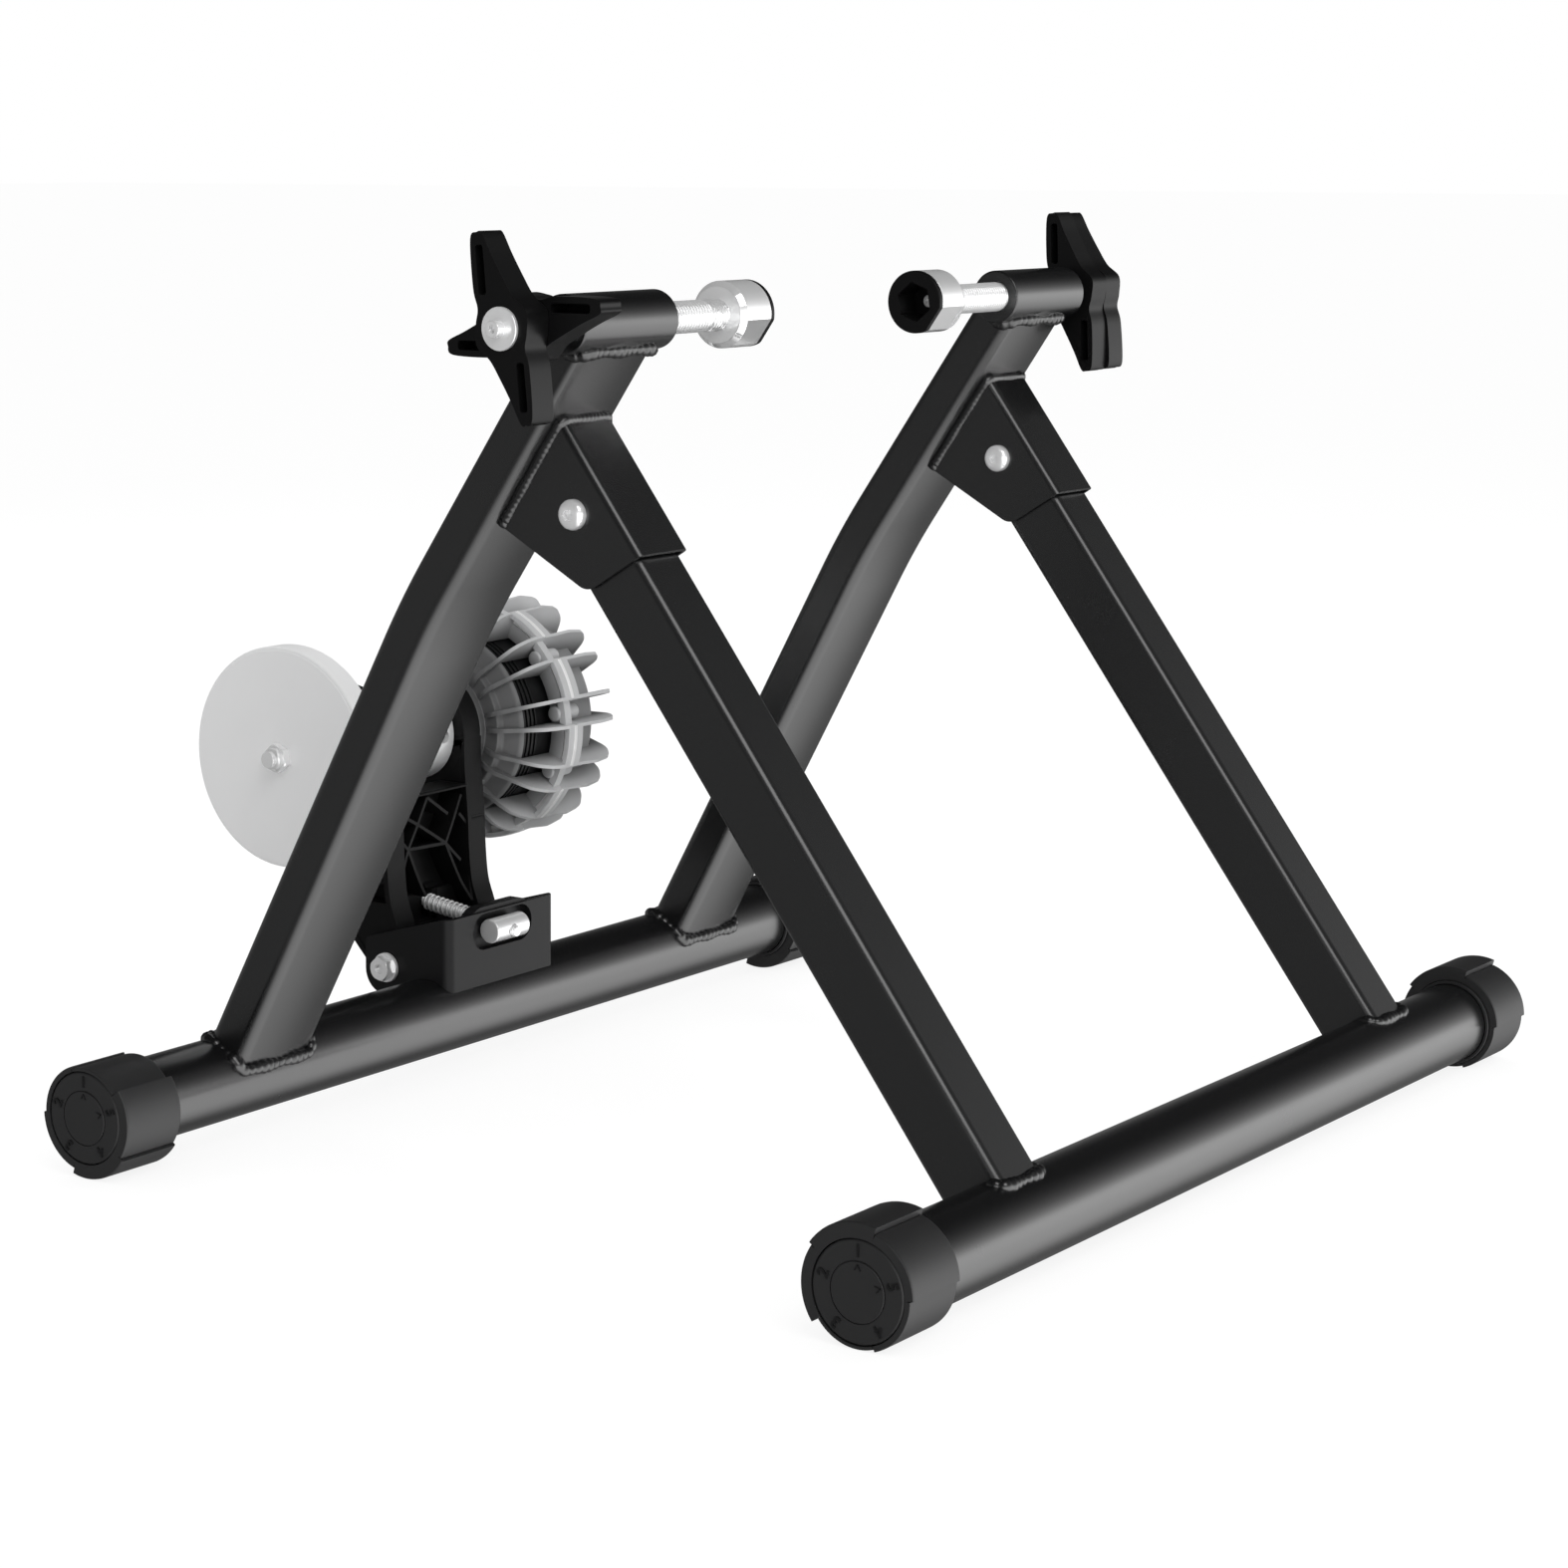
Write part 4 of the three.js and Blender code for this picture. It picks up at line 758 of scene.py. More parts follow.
@dataclass
class Piece:
    """A visible piece while it is being made, and the construction nodes it stands for."""

    made: bpy.types.Object
    nodes: tuple[str, ...] = ()

    @classmethod
    def of(cls, name: str, solid: Solid) -> "Piece":
        """Starts a piece from its main solid."""
        return cls(mesh_object(name, solid))

    @classmethod
    def stand_in(cls, node: str, solid: Solid) -> "Piece":
        """Starts the piece that stands for a construction node."""
        return cls(mesh_object(f"{node}_finished", solid), (node,))

    def _boolean(self, operation: str, solids: Iterable["Solid | Piece"]) -> "Piece":
        """Joins or cuts, one after the other, and keeps the result as the mesh.

        Args:
            operation: DIFFERENCE, UNION or INTERSECT.
            solids: What it is joined or cut with; a piece given here is used up.

        Returns:
            This piece.
        """
        tools = []
        for solid in solids:
            tool = solid.made if isinstance(solid, Piece) else mesh_object("tool", solid)
            step = self.made.modifiers.new("cut", "BOOLEAN")
            step.object = tool
            step.operation = operation
            step.solver = "EXACT"
            tools.append(tool)
        bpy.context.view_layer.update()
        graph = bpy.context.evaluated_depsgraph_get()
        result = bpy.data.meshes.new_from_object(self.made.evaluated_get(graph))
        spent = self.made.data
        self.made.modifiers.clear()
        self.made.data = result
        bpy.data.meshes.remove(spent)
        for tool in tools:
            mesh = tool.data
            bpy.data.objects.remove(tool)
            bpy.data.meshes.remove(mesh)
        return self

    def cut(self, *solids: "Solid | Piece") -> "Piece":
        """Takes solids away."""
        return self._boolean("DIFFERENCE", solids)

    def join(self, *solids: "Solid | Piece") -> "Piece":
        """Adds solids."""
        return self._boolean("UNION", solids)

    def within(self, *solids: "Solid | Piece") -> "Piece":
        """Keeps only what lies in every solid."""
        return self._boolean("INTERSECT", solids)

    def add(self, *solids: Solid) -> "Piece":
        """Puts further closed shells beside the piece's own, in the same mesh.

        Args:
            solids: The further shells.

        Returns:
            This piece.
        """
        extra = mesh_object("extra", combine(solids))
        whole = bmesh.new()
        whole.from_mesh(self.made.data)
        whole.from_mesh(extra.data)
        whole.to_mesh(self.made.data)
        whole.free()
        spent = extra.data
        bpy.data.objects.remove(extra)
        bpy.data.meshes.remove(spent)
        return self

    def finish(
        self, body: str | None, look: Finish, edge: float = 0, crease: float = 38
    ) -> bpy.types.Object:
        """Shades the piece, softens its edges, dresses it and hangs it on its body.

        Args:
            body: The body that it rides on, or None where it hangs on no body.
            look: Its finish.
            edge: Radius of its softened edges, in millimetres.
            crease: Angle in degrees from which an edge stays sharp.

        Returns:
            The finished object.
        """
        made, nodes = self.made, self.nodes
        mesh = made.data
        mesh.polygons.foreach_set("use_smooth", np.ones(len(mesh.polygons), bool))
        mesh.set_sharp_from_angle(angle=math.radians(crease))
        if edge:
            soft = made.modifiers.new("soft_edges", "BEVEL")
            soft.width = edge * MILLIMETRE
            soft.segments = 3
            soft.limit_method = "ANGLE"
            soft.angle_limit = math.radians(crease)
            soft.miter_outer = "MITER_ARC"
        weights = made.modifiers.new("even_shading", "WEIGHTED_NORMAL")
        weights.keep_sharp = True
        mesh.materials.clear()
        mesh.materials.append(look.material())
        if body:
            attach(made, body)
        if nodes:
            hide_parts(*nodes)
        LOG.info("%s: %d faces, %s", made.name, len(mesh.polygons), look.name)
        return made


def plain_nut(
    node: str,
    centre: Sequence[float],
    start: float,
    radii: Triple,
    thick: float,
    bore: float,
) -> Piece:
    """Makes a hexagon nut whose outer end is turned down to a cone.

    Args:
        node: The node that it stands for.
        centre: Its axis in the side view.
        start: Where its inner face lies along X.
        radii: The corners', and the cone's at its wide and narrow ends.
        thick: Its thickness.
        bore: Radius of its hole.

    Returns:
        The nut.
    """
    corner, wide, narrow = radii
    end, cone = start + thick, 1.3
    turned = [(start - 1, 0), (start - 1, wide), (end - cone, wide), (end, narrow), (end, 0)]
    nut = Piece.stand_in(node, plate(hexagon(centre, corner), start, end))
    return nut.within(revolve(turned, at(0, centre))).cut(rod(bore, start - 1, end + 1, centre))


def dress(node: str, look: Finish) -> None:
    """Gives a construction node that stays visible its finish.

    Args:
        node: The construction node.
        look: Its finish.
    """
    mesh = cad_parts[node].data
    mesh.materials.clear()
    mesh.materials.append(look.material())
    LOG.info("%s: kept, %s", node, look.name)


@dataclass
class BaseTube:
    """One of the two long tubes on the floor, with its plugs and stepped foot rings."""

    name: str
    body: str
    centre: Pair
    width: float
    ring_turn: float
    radius: float = 19
    wall: float = 2
    plug_length: float = 35.5
    plug_radius: float = 20.7
    disc: float = 5
    button: float = 0.6
    button_radius: float = 12
    groove: float = 0.5
    mark: float = 0.3
    gap: float = 0.3
    lip: float = 1.5
    steps: tuple[float, ...] = (24.8, 27.4, 26, 22.4, 23.4)
    slit: float = 0.014
    slit_depth: float = 1.4
    numeral_radius: float = 16.2
    font_size: float = 7.02
    font_weight: float = 0.12
    numeral_relief: float = 0.5
    plug_edges: Triple = (0.4, 1.2, 0.3)
    index_angles: Pair = (90, 18)
    index_mark: tuple[float, float, float, float] = (1, 2.4, 1.3, 0.28)
    ring_section: Pairs = (
        (0, 0), (0, 0.92), (0.012, 0.98), (0.035, 1), (0.965, 1), (0.988, 0.98), (1, 0.92), (1, 0),
    )

    def tube(self) -> None:
        """Makes the round tube, turned about its axis, with small edge roundings."""
        half = self.width / 2 - self.button - self.disc - self.gap
        inner = self.radius - self.wall
        profile = bushing((-half, half), (inner, self.radius), (0, self.gap))
        tube = revolve(profile, at(0, self.centre), sides=128)
        piece = Piece.stand_in(f"{self.name}_base_tube", tube)
        piece.finish(self.body, Finishes.powder)

    def plug(self, name: str, side: int) -> None:
        """Makes an end plug: a round disc with a ring groove, and a collar over the tube.

        Args:
            name: left or right.
            side: -1 or 1.
        """
        half = self.width / 2
        face, floor = half - self.button, half - self.button - self.disc
        mouth, top = half - self.plug_length, half - self.mark
        collar = self.radius + self.gap
        rim, outside = self.button_radius, self.button_radius + self.groove
        sunk = face - self.groove
        mouth_edge, face_edge, button_edge = self.plug_edges
        profile = rounded([
            (floor, 0, 0), (floor, collar, 0), (mouth, collar, 0),
            (mouth, self.plug_radius, mouth_edge), (face, self.plug_radius, face_edge),
            (face, outside, 0), (sunk, outside, 0), (sunk, rim, 0),
            (top, rim, button_edge), (top, 0, 0),
        ])
        plug = revolve(profile * [side, 1], at(0, self.centre), sides=128)
        piece = Piece.stand_in(f"{self.name}_plug_{name}", plug)
        piece.finish(self.body, Finishes.feet)
        self.numerals(name, side)

    def numerals(self, name: str, side: int) -> None:
        """Raises the plain step numbers 1 to 5 and two index marks on the plug's face.

        Args:
            name: left or right.
            side: -1 or 1.
        """
        face = self.width / 2 - self.button
        count = len(self.steps)
        parts = []
        for number in range(count):
            angle = math.radians(90 + 360 / count * number)
            parts.append(self.glyph(str(number + 1), angle, side, face))
        made = parts[0]
        whole = bmesh.new()
        for part in parts:
            whole.from_mesh(part.data)
        marks = mesh_object("marks", self.index_marks(side, face))
        whole.from_mesh(marks.data)
        mesh = bpy.data.meshes.new("numerals")
        whole.to_mesh(mesh)
        whole.free()
        for part in [*parts[1:], marks]:
            bpy.data.objects.remove(part)
        made.data = mesh
        made.name = f"{self.name}_numerals_{name}"
        Piece(made).finish(self.body, Finishes.core)

    def glyph(self, text: str, angle: float, side: int, face: float) -> bpy.types.Object:
        """Makes one numeral with its top pointing away from the plug's centre.

        Args:
            text: The numeral.
            angle: Its place round the plug, anticlockwise from the right as seen from outside.
            side: -1 or 1.
            face: Distance of the plug's face from the middle.

        Returns:
            A mesh object in the row frame.
        """
        curve = bpy.data.curves.new("numeral", "FONT")
        curve.body = text
        curve.size = self.font_size
        curve.extrude = self.numeral_relief
        curve.offset = self.font_weight
        curve.resolution_u = 4
        curve.align_x = "CENTER"
        curve.align_y = "CENTER"
        lettering = bpy.data.objects.new("numeral", curve)
        bpy.context.scene.collection.objects.link(lettering)
        bpy.context.view_layer.update()
        mesh = bpy.data.meshes.new_from_object(lettering)
        bpy.data.objects.remove(lettering)
        flat = np.zeros(len(mesh.vertices) * 3)
        mesh.vertices.foreach_get("co", flat)
        flat = flat.reshape(-1, 3)
        middle = self.numeral_radius * np.array([math.cos(angle), math.sin(angle)])
        spread = (spun(flat[:, :2], angle - math.pi / 2) + middle) * [side, 1]
        points = at(side * (face + flat[:, 2]), self.centre + spread)
        mesh.vertices.foreach_set("co", LEVEL.row(points).ravel())
        made = bpy.data.objects.new("numeral", mesh)
        bpy.context.scene.collection.objects.link(made)
        return made

    def index_marks(self, side: int, face: float) -> Solid:
        """Returns two small wedge marks inside the button's edge, near 1 and 5.

        Args:
            side: -1 or 1.
            face: Distance of the plug's face from the middle.

        Returns:
            Both marks.
        """
        inset, length, spread, half_line = self.index_mark
        marks = []
        for degrees in self.index_angles:
            angle = math.radians(degrees)
            out = np.array([side * math.cos(angle), math.sin(angle)])
            across = left_of(out)
            tip = np.asarray(self.centre) + out * (self.button_radius - inset)
            for way in (-1, 1):
                foot = tip - out * length + across * way * spread
                width = across * half_line
                outline = np.array([tip - width, tip + width, foot + width, foot - width])
                start = side * (face + self.button - self.groove)
                marks.append(plate(outline, start, start + side * self.groove))
        return combine(marks)

    def ring(self, name: str, side: int) -> None:
        """Makes a foot ring: its radius steps through five heights round the tube.

        The section at each angle is a rectangle with rounded outer corners, from the bore to
        the step's radius, and a narrow slit parts neighbouring steps.

        Args:
            name: left or right.
            side: -1 or 1.
        """
        sector = 2 * math.pi / len(self.steps)
        spread = np.concatenate([[0, self.slit], np.linspace(self.slit + 0.001, 1, 24)])
        angles = np.concatenate([(k + spread) * sector for k in range(len(self.steps))])
        heights = np.repeat(np.array(self.steps)[:, None], len(spread), 1)
        heights[:, :2] = np.minimum(self.steps, np.roll(self.steps, 1))[:, None] - self.slit_depth
        heights = heights.ravel()
        angles = angles + self.ring_turn
        outer = self.width / 2 - self.button
        inner = self.width / 2 - self.plug_length + self.lip
        bore = self.plug_radius + self.gap
        share = np.array(self.ring_section)
        along = side * (inner + (outer - inner) * share[:, 0])
        reach = bore + (heights[:, None] - bore) * share[None, :, 1]
        y = self.centre[0] - reach * np.cos(angles)[:, None]
        z = self.centre[1] + reach * np.sin(angles)[:, None]
        points = np.stack([np.broadcast_to(along, y.shape), y, z], axis=-1)
        piece = Piece.stand_in(f"{self.name}_foot_ring_{name}", grid(points, ring=True))
        piece.finish(f"{self.name}_ring_{name}", Finishes.feet, edge=0.35)

    def build(self) -> None:
        """Makes the tube, both plugs and both rings."""
        self.tube()
        for name, side in SIDES:
            self.plug(name, side)
            self.ring(name, side)


@dataclass
class SideFrame:
    """One side's upright, sleeve, leg, hinge saddle and their welds."""

    name: str
    side: int
    tube_radius: float = 19
    sleeve_radius: float = 12.5
    sleeve_length: float = 64
    sleeve_bore: float = 7.3
    upright: Triple = (50, 25, 5)
    crown: float = 2.2
    bend_reach: float = 20
    leg: Pair = (30, 4)
    leg_crown: float = 14.7
    saddle_outside: float = 34.4
    sheet: float = 1.8
    fold_radius: float = 3.6
    front_face: float = 18.4
    foot: float = 32.3
    tip: Triple = (29.6, 13.8, 8)
    rear_corner: Pair = (17.3, 34.9)
    rise: float = 45
    bolt_radius: float = 4
    bolt_head: Triple = (6.5, 4.5, 2.6)
    nut: Triple = (7.4, 6.5, 1.5)
    weld: float = 2.5
    weld_lift: float = 0.4
    gap: float = 0.3
    cope: float = 1
    dome: Pair = (1.2, 0.6)
    socket_depth: float = 0.62

    def __post_init__(self) -> None:
        """Works out the frame's lines from the stance."""
        self.x = self.side * STANCE.frame_x
        self.rear, self.front = np.array(STANCE.rear, float), np.array(STANCE.front, float)
        self.hinge, self.bend = np.array(STANCE.hinge), np.array(STANCE.bend)
        self.sleeve = np.array(STANCE.sleeve)
        self.lower = unit(self.bend - self.rear)
        self.upper = unit(self.sleeve - self.bend)
        self.face_normal = left_of(self.upper)
        self.face = self.sleeve + self.face_normal * (self.upright[1] / 2)
        self.leg_heading = unit(self.front - self.hinge)
        self.leg_normal = -left_of(self.leg_heading)

    def drill(self, radius: float, half: float, centre: np.ndarray) -> Solid:
        """Returns a round bar across this side's tubes, half to each side."""
        return rod(radius, self.x - half, self.x + half, centre)

    def slab(self, outline: np.ndarray, half: float) -> Solid:
        """Returns a side-view outline carried across this side's tubes, half to each side."""
        return plate(outline, self.x - half, self.x + half)

    def on_leg(self, along: float, ahead: float) -> np.ndarray:
        """Returns a side-view point measured along the leg from the hinge and square to it."""
        return self.hinge + along * self.leg_heading + ahead * self.leg_normal

    def on_face(self, ahead: float) -> np.ndarray:
        """Returns where the leg's parallel line at a distance meets the upright's face.

        Args:
            ahead: The line's distance in front of the leg's middle.

        Returns:
            The side-view point.
        """
        start = self.on_leg(0, ahead)
        share = ((self.face - start) @ self.face_normal) / (self.leg_heading @ self.face_normal)
        return start + share * self.leg_heading

    def upright_path(self) -> np.ndarray:
        """Returns the upright's centre line, a quadratic curve through the bend.

        Returns:
            Side-view points, from the base tube up to the sleeve.
        """
        start = self.bend - self.lower * self.bend_reach
        end = self.bend + self.upper * self.bend_reach
        t = np.linspace(0, 1, 24)[:, None]
        curve = (1 - t) ** 2 * start + 2 * t * (1 - t) * self.bend + t**2 * end
        share = np.linspace(0, 1, 12)[:, None]
        below = self.rear + (start - self.rear) * share
        above = end + (self.sleeve - end) * share
        return np.concatenate([below[:-1], curve, above[1:]])

    def crowned(self) -> np.ndarray:
        """Returns the upright's section, whose wide faces fall by crown * (2 u / width)^2.

        Returns:
            The section's points (u, v), evenly spaced.
        """
        section, _ = evened(box_outline(*self.upright, steps=8), 180, ring=True)
        fall = self.crown * (2 * section[:, 0] / self.upright[0]) ** 2
        share = section[:, 1] / (self.upright[1] / 2)
        section[:, 1] -= fall * share
        return section

    def make_upright(self) -> None:
        """Makes the bent flat-oval upright, coped onto the tube and the sleeve."""
        tube = swept(self.crowned(), self.upright_path(), self.x)
        piece = Piece.stand_in(f"rear_upright_{self.name}", tube)
        half = self.upright[0]
        piece.cut(
            self.drill(self.tube_radius - self.cope, half, self.rear),
            self.drill(self.sleeve_radius - self.cope, half, self.sleeve),
        )
        piece.finish("rear_frame", Finishes.powder)

    def make_sleeve(self) -> None:
        """Makes the sleeve that guides the clamp screw."""
        half = self.sleeve_length / 2
        profile = bushing((-half, half), (self.sleeve_bore, self.sleeve_radius), (0.4, 0.9))
        tube = revolve(profile, at(self.x, self.sleeve))
        piece = Piece.stand_in(f"clamp_sleeve_{self.name}", tube)
        piece.finish("rear_frame", Finishes.powder)

    def make_leg(self) -> None:
        """Makes the square front leg with its round top inside the saddle."""
        width, radius = self.leg
        length = float(np.linalg.norm(self.front - self.hinge))
        share = np.linspace(0, 1, 8)[:, None]
        path = self.on_leg(-width, 0) + (length + width) * share * self.leg_heading
        tube = swept(box_outline(width, width, radius, 8), path, self.x)
        ends = np.array([
            self.on_leg(0, -width), self.on_leg(0, width),
            self.on_leg(2 * length, width), self.on_leg(2 * length, -width),
        ])
        top = self.slab(circle_outline(self.hinge, self.leg_crown), width)
        shape = Piece.of("leg_shape", top).join(self.slab(ends, width))
        piece = Piece.stand_in(f"front_leg_{self.name}", tube).within(shape)
        piece.cut(
            self.drill(self.tube_radius - self.cope, width, self.front),
            self.drill(self.bolt_radius + self.gap, width, self.hinge),
        )
        piece.finish("front_frame", Finishes.powder, edge=0.3)

    def make_saddle(self) -> None:
        """Makes the folded sheet saddle that the leg turns in.

        A U section with round folds is carried along the leg, then trimmed to the side outline
        and to the upright's face.
        """
        half, ahead, back = self.saddle_outside / 2, self.front_face, -2 * self.rear_corner[1]
        inner, wall = half - self.sheet, ahead - self.sheet
        inside_fold = self.fold_radius - self.sheet
        section = rounded([
            (-half, back, 0), (-half, ahead, self.fold_radius),
            (half, ahead, self.fold_radius), (half, back, 0),
            (inner, back, 0), (inner, wall, inside_fold),
            (-inner, wall, inside_fold), (-inner, back, 0),
        ], 8)
        share = np.linspace(0, 1, 6)[:, None]
        path = self.on_leg(-2 * self.rise, 0) + share * 4 * self.rise * self.leg_heading
        section = section * [1, -1]
        outline = rounded([
            (*self.on_leg(-self.rise, 2 * ahead), 0),
            (*self.on_leg(self.foot, 2 * ahead), 0),
            (*self.on_leg(self.foot, ahead * 0.9), 0),
            (*self.on_leg(self.tip[0], -self.tip[1]), self.tip[2]),
            (*self.on_leg(-self.rear_corner[0], -self.rear_corner[1]), 0),
            (*self.on_leg(-self.rear_corner[0] - self.rise, -self.rear_corner[1]), 0),
        ], 10)
        far = 2 * self.rise
        up, inwards = self.upper * 4 * far, self.face_normal * far * 2
        behind = self.face + np.array([up, -up, -up - inwards, up - inwards])
        piece = Piece.stand_in(f"hinge_bracket_{self.name}", swept(section, path, self.x))
        piece.within(self.slab(outline, far))
        piece.cut(
            self.slab(behind, far), self.drill(self.bolt_radius + self.gap, far, self.hinge)
        )
        piece.finish("rear_frame", Finishes.powder, edge=0.45)

    def make_bolt(self) -> None:
        """Makes the hinge bolt with its domed socket head, and its nut."""
        radius, height, socket = self.bolt_head
        outside = -self.saddle_outside / 2
        head = outside - height
        end = -outside + self.nut[1] + self.nut[2]
        rim, power = self.dome
        turn = np.linspace(0, math.pi / 2, 12)[::-1]
        along = outside - rim - (height - rim) * np.sin(turn)
        across = np.append(0, radius * np.cos(turn[1:]) ** power)
        profile = [
            *zip(along, across), (outside, radius), (outside, self.bolt_radius),
            (end, self.bolt_radius), (end, 0),
        ]
        bolt = revolve(profile, at(self.x, self.hinge), sides=64)
        piece = Piece.stand_in(f"hinge_bolt_{self.name}", bolt)
        floor = self.x + head + height * self.socket_depth
        piece.cut(plate(hexagon(self.hinge, socket), self.x + head - 2, floor))
        piece.finish("rear_frame", Finishes.zinc, edge=0.15)
        corner, thick, _ = self.nut
        radii = (corner, corner * 1.1, corner * 0.9)
        node, start, bore = f"hinge_nut_{self.name}", self.x - outside, self.bolt_radius + 0.05
        nut = plain_nut(node, self.hinge, start, radii, thick, bore)
        nut.finish("rear_frame", Finishes.zinc, edge=0.2)

    def weld_ring(
        self, centre: np.ndarray, heading: np.ndarray, section: np.ndarray, radius: float
    ) -> Solid:
        """Returns the weld where a section meets a round tube.

        A section point (u, v) meets the tube at v across and sqrt(radius^2 - v^2) along the
        heading. At a length s along the seam the bead's radius is the weld's times
        1 + 0.22 |sin(0.8 s)| + 0.18 sin(0.31 s + side).

        Args:
            centre: The round tube's axis in the side view.
            heading: The way that the section's tube leaves it.
            section: The section's outline.
            radius: The round tube's radius.

        Returns:
            The closed bead.
        """
        reach = np.sqrt(np.maximum(radius**2 - section[:, 1] ** 2, 0))
        side_view = centre + section[:, 1:2] * left_of(heading) + reach[:, None] * heading
        path, even = evened(at(self.x + section[:, 0], side_view), 220, ring=True)
        out = at(0, path[:, 1:] - centre)
        ripple = 1 + 0.22 * np.abs(np.sin(even * 0.8)) + 0.18 * np.sin(even * 0.31 + self.side)
        return bead(path, out, self.weld * ripple, ring=True)

    def make_welds(self) -> None:
        """Makes the weld beads at the feet, under the sleeve and round the saddle."""
        lift, (width, depth, radius), (leg, corner) = self.weld_lift, self.upright, self.leg
        foot = box_outline(width + lift, depth + lift, radius, 8)
        square = box_outline(leg + lift, leg + lift, corner, 8)
        top = box_outline(width + lift, depth * 0.9, radius, 8)
        tube, sleeve = self.tube_radius, self.sleeve_radius + lift
        for name, body, seam in (
            ("upright", "rear_frame", (self.rear, self.lower, foot, tube)),
            ("leg", "front_frame", (self.front, -self.leg_heading, square, tube)),
            ("sleeve", "rear_frame", (self.sleeve, -self.upper, top, sleeve)),
        ):
            weld = Piece.of(f"{name}_weld_{self.name}", self.weld_ring(*seam))
            weld.finish(body, Finishes.powder)
        self.make_saddle_welds()

    def make_saddle_welds(self) -> None:
        """Makes the bead along the saddle's top edge and down both its sides.

        At a length s along it the bead's radius is nine tenths of the weld's times
        1 + 0.18 |sin(1.2 s)| + 0.08 sin(0.37 s).
        """
        top = self.on_face(self.front_face - self.sheet / 2)
        low = self.on_face(-self.rear_corner[1])
        side, corner, deep = (self.saddle_outside - self.sheet) / 2, 3, -60
        seam = rounded([
            (-side, deep, 0), (-side, 0, corner), (side, 0, corner), (side, deep, 0),
        ], 8)
        fall = np.minimum(-seam[:, 1:2], float(np.linalg.norm(top - low)))
        path, even = evened(at(self.x + seam[:, 0], top + fall * unit(low - top)), 160)
        normal = np.broadcast_to(at(0, self.face_normal), path.shape)
        ripple = 1 + 0.18 * np.abs(np.sin(even * 1.2)) + 0.08 * np.sin(even * 0.37)
        seam = Piece.of(f"saddle_weld_{self.name}", bead(path, normal, self.weld * 0.9 * ripple))
        seam.finish("rear_frame", Finishes.powder)

    def build(self) -> None:
        """Makes the side's pieces."""
        self.make_upright()
        self.make_sleeve()
        self.make_leg()
        self.make_saddle()
        self.make_bolt()
        self.make_welds()


